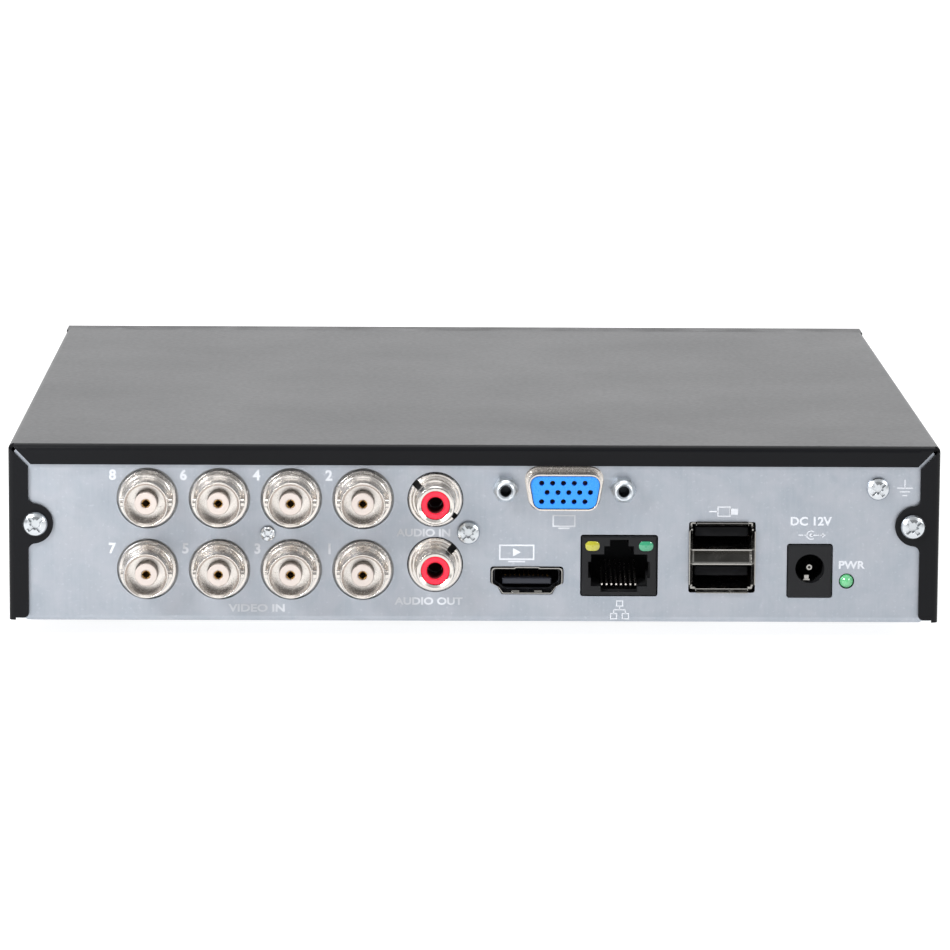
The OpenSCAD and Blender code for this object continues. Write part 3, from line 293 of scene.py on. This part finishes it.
# the plate between the two data ports is painted darker: painted shade in its recess
tone = g.ramp(g.noise(60, 4), [(0.3, (0.29, 0.283, 0.268)), (0.7, (0.37, 0.36, 0.342))])
shade_and_dullness = g.ramp(g.noise(140, 3, distort=1.0), [(0.3, (0.045, 0.044, 0.040)), (0.7, (0.10, 0.097, 0.09))])
g.set(color=g.mix(g.inside(*DATA_SOCKET_PLATE), tone, shade_and_dullness))
metal("black_anodised", (0.035, 0.036, 0.04), 0.42, stretch=(1, 0.06, 1), depth=8e-6)
metal("capacitor_can", (0.52, 0.53, 0.545), 0.30, stretch=(1, 1, 0.1))
metal("cell_steel", (0.52, 0.525, 0.53), 0.28)
metal("cast_aluminium", (0.055, 0.056, 0.06), 0.5, grain=1100, depth=2e-5, mottle=0.15)
metal("lid_steel", (0.68, 0.69, 0.70), 0.34, stretch=(0.04, 1, 1))
metal("mirror_disk", (0.80, 0.79, 0.78), 0.035, spread=0.01, depth=2e-7, mottle=0.01, edge=0)
metal("machined_aluminium", (0.58, 0.59, 0.60), 0.32)
metal("nickel_magnet", (0.62, 0.61, 0.60), 0.22)
plastic("black_moulding", (0.011, 0.011, 0.012), 0.46, grain=2600, depth=1.2e-5)
plastic("smoked_window", (0.006, 0.006, 0.007), 0.07, depth=1e-6, spread=0.02)
plastic("black_rubber", (0.016, 0.016, 0.016), 0.78, grain=1400, depth=2.5e-5)
plastic("white_insulator", (0.47, 0.415, 0.385), 0.45, mottle=0.04)
g = plastic("red_insulator", (0.80, 0.006, 0.032), 0.2, mottle=0.05, depth=2e-6)
# the two bores are dull, and painted dark inside as painted shade
off_bore = g.within(AUDIO_AXES, 1.68, 1.85)
g.set(color=g.mix(off_bore, (0.035, 0.001, 0.002), (0.80, 0.006, 0.032)),
      rough=g.span(off_bore, 0.8, 0.2, 0, 1))
g = plastic("black_connector", (0.0065, 0.0068, 0.008), 0.36, mottle=0.15, ior=1.32)
# its moulding is coarse and dull inside the sockets, behind the panel
depth = g.n("SeparateXYZ", {0: g.place()}).outputs[1]
shade_and_dullness = g.n("MapRange", {"Value": depth, "From Min": PANEL_Y - 1.5 * MM, "From Max": PANEL_Y - 0.3 * MM,
                       "To Min": 0.85, "To Max": 0.36}).outputs[0]
# the display socket's tongue is polished, and painted paler as a painted sheen
on_tongue = g.inside(*DISPLAY_TONGUE)
tone = g.ramp(g.noise(90, 3), [(0.3, (0.0055, 0.0058, 0.0068)), (0.7, (0.0075, 0.0078, 0.0092))])
g.set(rough=g.n("MapRange", {"Value": on_tongue, "To Min": shade_and_dullness, "To Max": 0.25}).outputs[0],
      color=g.mix(on_tongue, tone, (0.022, 0.024, 0.031)))
plastic("blue_insert", (0.012, 0.215, 0.72), 0.28, mottle=0.05)
for slot, color in (("yellow_light_pipe", (0.33, 0.315, 0.022)), ("green_light_pipe", (0.03, 0.24, 0.125)),
                    ("green_led", (0.115, 0.44, 0.195))):
    plastic(slot, color, 0.12, depth=1e-6, coat=1.0, coat_rough=0.06)
plastic("chip_resin", (0.014, 0.014, 0.015), 0.55, grain=1800, depth=1.4e-5)
plastic("ferrite", (0.05, 0.05, 0.055), 0.6, grain=1600, depth=2e-5)
plastic("white_connector", (0.78, 0.75, 0.66), 0.42, mottle=0.05)
plastic("red_button", (0.62, 0.02, 0.012), 0.35)
# the cables' plugs are in the same nodes as their jackets, and have their own colours
for slot, jacket, plug, ends in (("data_jacket", (0.50, 0.012, 0.010), (0.022, 0.022, 0.024), DATA_PLUGS),
                                 ("wire_jacket", (0.66, 0.33, 0.015), (0.60, 0.57, 0.50), WIRE_PLUGS)):
    g = plastic(slot, jacket, 0.42)
    at_plug = g.math("MAXIMUM", *(g.inside(*e) for e in ends))
    flow = g.noise(90, 3, distort=0.8)
    tones = [g.ramp(flow, [(0.3, shade(c, 0.88)), (0.7, shade(c, 1.12))]) for c in (jacket, plug)]
    g.set(color=g.mix(at_plug, *tones))
plastic("ribbon_jacket", (0.42, 0.43, 0.45), 0.45)


def board(name, dark, light):
    """Solder resist over copper: tracks that change direction from patch to patch, with plated vias."""
    g = Graph(name)
    at = g.place()
    zone = g.n("TexVoronoi", {"Vector": at, "Scale": 110.0}, feature="F1", distance="CHEBYCHEV")
    pick = g.n("SeparateColor", {0: zone.outputs["Color"]})
    xyz = g.n("SeparateXYZ", {0: at})
    both = [g.math("PINGPONG", g.math("MULTIPLY", xyz.outputs[i], 1000.0), 0.45) for i in (0, 1)]
    turned = g.math("GREATER_THAN", pick.outputs[0], 0.5)
    line = g.math("ADD", g.math("MULTIPLY", both[0], turned),
                  g.math("MULTIPLY", both[1], g.math("SUBTRACT", 1.0, turned)))
    track = g.math("MULTIPLY", g.math("LESS_THAN", line, 0.15), g.math("GREATER_THAN", pick.outputs[1], 0.3))
    pour = g.math("LESS_THAN", pick.outputs[1], 0.14)
    copper = g.math("MAXIMUM", track, pour)
    via = g.n("TexVoronoi", {"Vector": at, "Scale": 330.0}, feature="F1")
    ring = g.math("LESS_THAN", via.outputs["Distance"], 0.10)
    hole = g.math("LESS_THAN", via.outputs["Distance"], 0.045)
    tone = g.mix(copper, dark, light)
    tone = g.mix(g.math("MULTIPLY", g.noise(40, 3), 0.25), tone, shade(dark, 0.4))
    tone = g.mix(ring, tone, (0.72, 0.60, 0.30))
    # the via holes are painted near black, a painted shade inside them
    tone = g.mix(hole, tone, (0.01, 0.012, 0.01))
    g.set(color=tone, metal=g.math("MULTIPLY", g.math("SUBTRACT", ring, hole), 0.9),
          rough=g.span(g.noise(600, 2), 0.24, 0.36))
    g.bump((copper, 1.5e-5), (ring, 8e-6), (g.noise(2500, 2), 2e-6))


board("board_laminate", (0.004, 0.07, 0.028), (0.012, 0.15, 0.055))
board("drive_laminate", (0.003, 0.045, 0.075), (0.010, 0.10, 0.15))

ink = plastic("pale_ink", (0.53, 0.55, 0.585), 0.55, grain=2500, depth=4e-6, mottle=0.06, edge=0).m

for piece in frame["record"]["subparts"]:
    node = NODES[piece["node"]]
    node.data.materials.clear()
    node.data.materials.append(MATERIALS[piece["material_slot"]])


# ---- meshes ----
def obj_from(bm, name, material, body="chassis"):
    me = bpy.data.meshes.new(name)
    bmesh.ops.recalc_face_normals(bm, faces=bm.faces[:])
    bm.to_mesh(me)
    bm.free()
    for p in me.polygons:
        p.use_smooth = False
    o = bpy.data.objects.new(name, me)
    bpy.context.scene.collection.objects.link(o)
    me.materials.append(material)
    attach(o, body)


def prism(bm, outline, z0, z1, to_world):
    """A closed prism over an outline of (x, y) points, its corners placed by to_world(x, y, z)."""
    low = [bm.verts.new(to_world(x, y, z0)) for x, y in outline]
    high = [bm.verts.new(to_world(x, y, z1)) for x, y in outline]
    n = len(outline)
    bm.faces.new(low[::-1])
    bm.faces.new(high)
    for i in range(n):
        bm.faces.new((low[i], low[(i + 1) % n], high[(i + 1) % n], high[i]))


def disc(r, at=(0, 0), n=20, a0=0, a1=360):
    """n points round a circle, or along its arc from a0 to a1 degrees."""
    step = (a1 - a0) / (n if a1 - a0 >= 360 else n - 1)
    turns = [math.radians(a0 + i * step) for i in range(n)]
    return [(at[0] + r * math.cos(a), at[1] + r * math.sin(a)) for a in turns]


class Ink:
    """Flat printed strokes on a face, gathered in one mesh."""

    def __init__(self, to_world, thick=0.03):
        self.bm, self.to_world, self.thick = bmesh.new(), to_world, thick

    def fill(self, outline):
        prism(self.bm, outline, 0.0, self.thick, self.to_world)

    def line(self, a, b, w=0.22):
        self.path([a, b], w)

    def path(self, points, w=0.22, closed=False):
        """One closed body along a path, its corners mitred."""
        p = [Vector(q) for q in points]
        n = len(p)
        rails = []
        for i in range(n):
            back = (p[i] - p[i - 1]).normalized() if i or closed else None
            on = (p[(i + 1) % n] - p[i]).normalized() if i < n - 1 or closed else None
            back, on = back or on, on or back
            side = Vector((-(back.y + on.y), back.x + on.x)).normalized()
            side *= w / 2 / max(0.3, side.dot(Vector((-on.y, on.x))))
            rails.append([self.bm.verts.new(self.to_world(*(p[i] + s * side), z))
                          for s, z in ((-1, 0), (1, 0), (1, self.thick), (-1, self.thick))])
        for i in range(n if closed else n - 1):
            a, b = rails[i], rails[(i + 1) % n]
            for j in range(4):
                self.bm.faces.new((a[j], a[(j + 1) % 4], b[(j + 1) % 4], b[j]))
        if not closed:
            self.bm.faces.new(rails[0][::-1])
            self.bm.faces.new(rails[-1])

    def box(self, x, y, w, h, line=0.22):
        corners = [(x + i * w / 2, y + j * h / 2) for i, j in ((-1, -1), (1, -1), (1, 1), (-1, 1))]
        self.path(corners, line, True)

    def words(self, text, x, y, height, width=None, bold=0.03):
        cu = bpy.data.curves.new("words", "FONT")
        cu.body, cu.size, cu.align_x, cu.align_y, cu.offset = text, 1.0, "CENTER", "CENTER", bold
        cu.resolution_u = 3
        o = bpy.data.objects.new("words", cu)
        bpy.context.scene.collection.objects.link(o)
        bpy.context.view_layer.update()
        me = bpy.data.meshes.new_from_object(o.evaluated_get(bpy.context.evaluated_depsgraph_get()))
        bpy.data.objects.remove(o)
        xs, ys = [v.co.x for v in me.vertices], [v.co.y for v in me.vertices]
        k = height / (max(ys) - min(ys))
        kx = width / (max(xs) - min(xs)) if width else k
        cx, cy = (max(xs) + min(xs)) / 2, (max(ys) + min(ys)) / 2
        flat = bmesh.new()
        flat.from_mesh(me)
        bmesh.ops.remove_doubles(flat, verts=flat.verts[:], dist=1e-5)
        top = bmesh.ops.extrude_face_region(flat, geom=flat.faces[:])["geom"]
        for v in [e for e in top if isinstance(e, bmesh.types.BMVert)]:
            v.co.z = 1.0
        for v in flat.verts:
            v.co = self.to_world(x + (v.co.x - cx) * kx, y + (v.co.y - cy) * k, v.co.z * self.thick)
        joined = bpy.data.meshes.new("words")
        flat.to_mesh(joined)
        flat.free()
        self.bm.from_mesh(joined)

    def done(self, name, material):
        obj_from(self.bm, name, material)


def panel_marks():
    """The printed marks on the rear panel, each placed as in the photograph."""
    k = Ink(rear)
    channels = [(-30.8, 15.7), (-30.95, 31.5), (-46.1, 15.7), (-46.3, 31.5), (-61.4, 15.7), (-61.8, 31.5),
                (-76.9, 15.7), (-76.8, 31.5)]
    for i, (x, y) in enumerate(channels):
        k.words(str(i + 1), x, y, 2.3)
    k.words("VIDEO IN", -46.3, 2.9, 1.7, 12.0)
    k.words("AUDIO IN", -10.9, 19.25, 1.7, 11.5)
    k.words("AUDIO OUT", -9.7, 4.5, 1.65, 14.5)
    k.words("PWR", 80.4, 12.6, 1.7, 5.6)
    k.words("DC 12V", 71.6, 22.0, 1.9, 8.8)
    # analogue display: a plain screen on its stand
    k.box(19.0, 21.9, 4.6, 2.3, 0.3)
    k.path([(17.8, 20.3), (20.2, 20.3)], 0.3)
    # digital display: a wider screen with a play arrow
    k.box(9.0, 15.1, 7.2, 3.0, 0.32)
    k.fill([(8.2, 14.2), (8.2, 16.0), (9.9, 15.1)])
    k.path([(7.2, 13.1), (10.8, 13.1)], 0.3)
    # network: three boxes on a branched line
    k.box(31.0, 4.1, 1.3, 1.1, 0.22)
    for x in (-1.25, 1.25):
        k.box(31.0 + x, 1.35, 1.3, 1.1, 0.22)
        k.line((31.0 + x, 1.9), (31.0 + x, 2.75))
    k.line((29.75, 2.75), (32.25, 2.75))
    k.line((31.0, 2.75), (31.0, 3.5))
    # data: a plain rectangular plug on its lead
    k.box(53.0, 24.0, 2.6, 2.0, 0.25)
    k.fill([(54.3, 23.35), (56.0, 23.35), (56.0, 24.65), (54.3, 24.65)])
    k.line((49.8, 24.0), (51.7, 24.0), 0.3)
    # power polarity: a ring and dot between a minus and a plus
    k.line((68.9, 19.0), (69.9, 19.0))
    k.line((70.2, 19.0), (70.75, 19.0))
    k.path(disc(0.9, (71.6, 19.0), 14, 50, 310), 0.22)
    k.fill(disc(0.38, (71.6, 19.0), 12))
    k.line((71.6, 19.0), (73.3, 19.0))
    k.line((73.6, 19.0), (74.6, 19.0))
    k.line((74.1, 18.5), (74.1, 19.5))
    # protective earth
    k.line((91.4, 31.0), (91.4, 29.2))
    for w, y in ((3.4, 29.2), (2.2, 28.4), (1.0, 27.6)):
        k.line((91.4 - w / 2, y), (91.4 + w / 2, y), 0.25)
    k.done("panel_marks", ink)


def front_marks():
    """Under the window on the front: power, disk and network, one below each indicator."""
    edge, edge_y, slope = LIP_OUT - CASE_DEPTH + 0.1, 14, 0.0626   # the face leans back from its edge here
    k = Ink(lambda x, y, h: rear(x, y, edge + (y - edge_y) * slope - h), 0.02)
    k.path(disc(1.0, (78, 16.3), 18, 130, 410), 0.22)
    k.line((78, 16.4), (78, 17.6), 0.22)
    k.box(69, 16.4, 2.5, 2.3, 0.22)
    k.path(disc(0.75, (69, 16.4), 18), 0.18, True)
    k.fill(disc(0.2, (69, 16.4), 10))
    k.box(60, 17.1, 1.1, 0.9, 0.2)
    for x in (-1.1, 1.1):
        k.box(60 + x, 15.0, 1.1, 0.9, 0.2)
        k.line((60 + x, 15.45), (60 + x, 16.1), 0.18)
    k.line((58.9, 16.1), (61.1, 16.1), 0.18)
    k.line((60, 16.1), (60, 16.65), 0.18)
    k.done("front_marks", ink)


panel_marks()
front_marks()


# ---- small soldered parts, printed outlines and labels inside ----
class Parts:
    """Small parts on a face, gathered by material. place(u, v, h) is a point across, along and above it."""

    def __init__(self, place):
        self.place, self.meshes = place, {}

    def box(self, mat, u0, v0, h0, u1, v1, h1):
        bm = self.meshes.setdefault(mat, bmesh.new())
        prism(bm, [(u0, v0), (u1, v0), (u1, v1), (u0, v1)], h0, h1, self.place)

    def passive(self, u, v, long_u, size, tall, body):
        """A surface-mounted resistor or capacitor: a body between two soldered ends."""
        w, d = (size, size / 2) if long_u else (size / 2, size)
        e = size * 0.22
        for s in (-1, 1):
            if long_u:
                a, b = (u + s * (w / 2 - e), v - d / 2), (u + s * w / 2, v + d / 2)
            else:
                a, b = (u - w / 2, v + s * (d / 2 - e)), (u + w / 2, v + s * d / 2)
            self.box("tin_plate", min(a[0], b[0]), min(a[1], b[1]), 0, max(a[0], b[0]), max(a[1], b[1]), tall)
        iu, iv = (w / 2 - e, d / 2 * 0.94) if long_u else (w / 2 * 0.94, d / 2 - e)
        self.box(body, u - iu, v - iv, 0.02, u + iu, v + iv, tall * 0.96)

    def legs(self, u, v, w, d, pitch, sides):
        """Gull-wing legs out of a chip's sides: "u" for its left and right, "v" for its front and back."""
        for axis in sides:
            half, run = (w / 2, d) if axis == "u" else (d / 2, w)
            n = int((run - 0.8) / pitch)
            shoulder = (half, half + 0.35, 0.55, 0.75)
            shin = (half + 0.2, half + 0.35, 0.1, 0.55)
            foot = (half + 0.2, half + 0.9, 0.0, 0.13)
            for s in (-1, 1):
                for i in range(n + 1):
                    t = (i - n / 2) * pitch
                    for r0, r1, h0, h1 in (shoulder, shin, foot):
                        p, q = sorted((s * r0, s * r1))
                        if axis == "u":
                            self.box("tin_plate", u + p, v + t - 0.12, h0, u + q, v + t + 0.12, h1)
                        else:
                            self.box("tin_plate", u + t - 0.12, v + p, h0, u + t + 0.12, v + q, h1)

    def scatter(self, seed, area_uv, keep_out, count, small=False):
        """Rows of passives over the free parts of an area, placed by a fixed seed."""
        rnd = random.Random(seed)
        (u0, v0), (u1, v1) = area_uv
        taken = [tuple(k) for k in keep_out]
        made = 0
        for _ in range(count * 30):
            if made >= count:
                break
            u, v = round(rnd.uniform(u0, u1) * 2) / 2, round(rnd.uniform(v0, v1) * 2) / 2
            long_u = rnd.random() < 0.5
            size = rnd.choice((1.0, 1.6, 1.6) if small else (1.0, 1.6, 1.6, 2.0, 3.2))
            row = rnd.choice((1, 2, 3, 4))
            step = size / 2 + 0.55
            du, dv = (0, step) if long_u else (step, 0)
            half_u, half_v = (size / 2, size / 4) if long_u else (size / 4, size / 2)
            box = (u - half_u - 0.35, v - half_v - 0.35,
                   u + (half_u + du * (row - 1)) + 0.35, v + (half_v + dv * (row - 1)) + 0.35)
            if box[0] < u0 or box[1] < v0 or box[2] > u1 or box[3] > v1:
                continue
            if any(box[0] < k[2] and box[2] > k[0] and box[1] < k[3] and box[3] > k[1] for k in taken):
                continue
            taken.append(box)
            body, tall = rnd.choice((("chip_resin", 0.28), ("ceramic_tan", 0.5), ("ceramic_tan", 0.5)))
            for i in range(row):
                self.passive(u + du * i, v + dv * i, long_u, size, tall * size / 1.6, body)
            made += row

    def done(self, name):
        for mat, bm in self.meshes.items():
            obj_from(bm, name + "_" + mat, MATERIALS[mat])


def around(u, v, w, d, gap=0.6):
    """The outline of a part, with a gap round it."""
    return (u - w / 2 - gap, v - d / 2 - gap, u + w / 2 + gap, v + d / 2 + gap)


def on_main_board(u, v, h):
    return rear(u, BOARD_TOP + h, v)


def on_display_board(u, v, h):
    return rear(u, DISPLAY_BOARD_TOP + h, v)


def fit_main_board():
    """Legs, passives and outlines between the CAD's parts, whose middles and sizes are listed here."""
    parts, marks = Parts(on_main_board), Ink(on_main_board, 0.02)
    chips = [(-62, -36, 14, 14), (-34, -36, 14, 14), (-12, -40, 7, 7), (52, -36, 9, 13.5), (52, -52, 9, 13.5),
             (48, -66, 8, 5.2), (34, -27, 12.5, 7.6), (-46, -54, 10, 6), (62, -28, 6, 5), (-12, -66, 5, 4.4)]
    fine, coarse = 0.5, 1.27
    for i, pitch, sides in ((0, fine, "uv"), (1, fine, "uv"), (5, coarse, "v"), (6, coarse, "v"),
                            (7, coarse, "v"), (8, coarse, "v"), (9, coarse, "v")):
        parts.legs(*chips[i], pitch, sides)
    coils = [(70, -25), (70, -36), (62, -44), (-3, -62)]
    cans = [(79, -34, 4), (79, -44, 4), (61, -36, 3.15), (56.5, -65, 3.15), (-24, -28, 2.5), (-48, -28, 2.5)]
    screws = [(-79, -26), (-79, -70), (-2, -28), (83, -70), (83, -22)]
    heads = [(-58.5, -62, 15.6, 6.4), (-73.5, -58, 11.4, 5.8), (66, -70.5, 12.4, 6.2), (12, -20.5, 15.2, 5),
             (22, -50, 37, 37), (74, -58, 6, 6), (-45, -66, 9, 9), (-28, -60, 20, 26)]
    keep = [around(*c, 1.5) for c in chips] + [around(u, v, 7, 7) for u, v in coils]
    keep += [around(u, v, 2 * r, 2 * r) for u, v, r in cans] + [around(u, v, 7, 7) for u, v in screws]
    keep += [around(*c) for c in heads]
    # the sockets along the rear edge, then the display board over them
    keep += [(-90, -17, -14, 0), (-16, -14, 0, 0), (1.5, -15, 20.5, 0), (21, -22, 41, 0), (44, -19, 62, 0),
             (65, -16, 78, 0), (77, -8, 82, 0), (1, -28.5, 37, -1)]
    parts.scatter(11, ((-82, -73), (86, -2)), keep, 330)
    for u, v, w, d in chips + heads[:3] + [(u, v, 7.8, 7.8) for u, v in coils]:
        marks.box(u, v, w + 1.0, d + 1.0, 0.14)
        marks.fill(disc(0.25, (u - w / 2 - 0.9, v - d / 2 - 0.9), 10))
    for u, v, r in cans:
        marks.path(disc(r + 0.5, (u, v), 24), 0.14, True)
    parts.done("main_board_parts")
    marks.done("main_board_marks", ink)


def fit_display_board():
    parts = Parts(on_display_board)
    parts.scatter(5, ((3.5, -26), (34.5, -11.5)), [], 46, True)
    parts.done("display_board_parts")


def fit_drive():
    """Parts under the drive's board, and a blank paper label with ruled boxes on its lid."""
    lid_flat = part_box("drive_lid")[1].z - LID_RING * MM
    board_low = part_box("drive_board")[0].z
    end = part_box("drive_base")[0].x

    def under(u, v, h):
        return Vector((end + u * MM, (DRIVE_MID + v) * MM, board_low - h * MM))

    def over(u, v, h):
        return Vector((end + u * MM, (DRIVE_MID + v) * MM, lid_flat + h * MM))

    parts = Parts(under)
    parts.box("chip_resin", 84, -16, 0, 98, -2, 0.8)
    parts.legs(91, -9, 14, 14, 0.5, "uv")
    parts.box("chip_resin", 108, 12, 0, 118, 20, 0.7)
    parts.box("chip_resin", 66, 14, 0, 73, 21, 0.7)
    chips = [(82, -18, 100, 0), (107, 11, 119, 21), (65, 13, 74, 22)]
    parts.scatter(23, ((58.5, -44), (137, 41)), chips, 150, True)
    parts.done("drive_board_parts")

    label_t = 0.06
    bm = bmesh.new()
    prism(bm, [(96, -38), (134, -38), (134, 38), (96, 38)], 0.0, label_t, over)
    obj_from(bm, "drive_label", paper)
    rules = Ink(lambda u, v, h: over(u, v, label_t + h), 0.01)
    for v in (-30, -22, -6, 14, 30):
        rules.line((98, v), (132, v), 0.25)
    rules.box(115, 0, 34, 72, 0.3)
    rules.line((115, -6), (115, 14), 0.25)
    rules.done("drive_label_rules", rule_ink)


plastic("ceramic_tan", (0.42, 0.27, 0.14), 0.4, grain=4000, depth=3e-6, edge=4e-5)
paper = plastic("label_paper", (0.62, 0.62, 0.60), 0.6, grain=3500, depth=4e-6, mottle=0.03, edge=0).m
rule_ink = plastic("rule_ink", (0.05, 0.05, 0.055), 0.5, grain=3500, depth=2e-6, mottle=0.1, edge=0).m
fit_main_board()
fit_display_board()
fit_drive()


# ---- floor, lights, world ----
def make_floor():
    bm = bmesh.new()
    bmesh.ops.create_grid(bm, x_segments=1, y_segments=1, size=9.0)
    me = bpy.data.meshes.new("floor")
    bm.to_mesh(me)
    bm.free()
    o = bpy.data.objects.new("floor", me)
    bpy.context.scene.collection.objects.link(o)
    g = Graph("floor_paper")
    g.set(color=g.ramp(g.noise(3, 2), [(0.3, (0.36, 0.36, 0.36)), (0.7, (0.38, 0.38, 0.38))]), rough=0.95,
          glow=(1.0, 1.0, 1.0), glow_by=0.86, level=0.1)
    me.materials.append(g.m)
    o.location.z = CAD_BOX[0].z - 0.2 * MM


def area(name, at, target, size, power):
    light = bpy.data.lights.new(name, "AREA")
    light.shape, light.size, light.size_y = "RECTANGLE", size, size
    light.energy = power
    o = bpy.data.objects.new(name, light)
    bpy.context.scene.collection.objects.link(o)
    o.location = at
    o.rotation_mode = "QUATERNION"
    o.rotation_quaternion = (Vector(target) - Vector(at)).to_track_quat("-Z", "Y")


def make_world():
    """A studio whose white sweep lies behind the object and whose camera side is dim."""
    w = bpy.data.worlds.new("studio")
    bpy.context.scene.world = w
    w.use_nodes = True
    t = w.node_tree
    n, link = t.nodes.new, t.links.new
    xyz = n("ShaderNodeSeparateXYZ")
    link(n("ShaderNodeTexCoord").outputs["Generated"], xyz.inputs[0])
    depth = n("ShaderNodeMapRange")
    link(xyz.outputs[1], depth.inputs[0])
    depth.inputs[1].default_value = -1.0
    ramp = n("ShaderNodeValToRGB")
    link(depth.outputs[0], ramp.inputs[0])
    stops = [(0.0, 1.62), (0.10, 1.54), (0.30, 0.88), (0.55, 0.55), (0.80, 0.33), (0.93, 0.22), (1.0, 0.20)]
    e = ramp.color_ramp.elements
    while len(e) < len(stops):
        e.new(0.5)
    for s, (pos, v) in zip(e, stops):
        s.position, s.color = pos, (v * 0.985, v * 0.99, v, 1)
    height = n("ShaderNodeMapRange")
    height.interpolation_type = "SMOOTHSTEP"
    link(xyz.outputs[2], height.inputs[0])
    for i, v in ((1, 0.28), (2, 0.62), (3, 0.0), (4, 1.0)):
        height.inputs[i].default_value = v
    blend = n("ShaderNodeMix")
    blend.data_type = "RGBA"
    link(height.outputs[0], blend.inputs[0])
    link(ramp.outputs[0], blend.inputs[6])
    blend.inputs[7].default_value = (0.62, 0.625, 0.63, 1)
    link(blend.outputs[2], t.nodes["Background"].inputs[0])


make_floor()
make_world()
area("key", (0.33, 0.42, 0.30), (0.09, 0.09, 0.02), 0.17, 3.6)
area("fill", (-0.48, 0.46, 0.28), (-0.08, 0.09, 0.02), 0.22, 1.3)
area("overhead", (0.0, -0.25, 1.5), (0, 0, 0), 1.1, 9)
bpy.context.scene.view_settings.view_transform = "Standard"
bpy.context.scene.view_settings.look = "None"

bpy.context.view_layer.update()
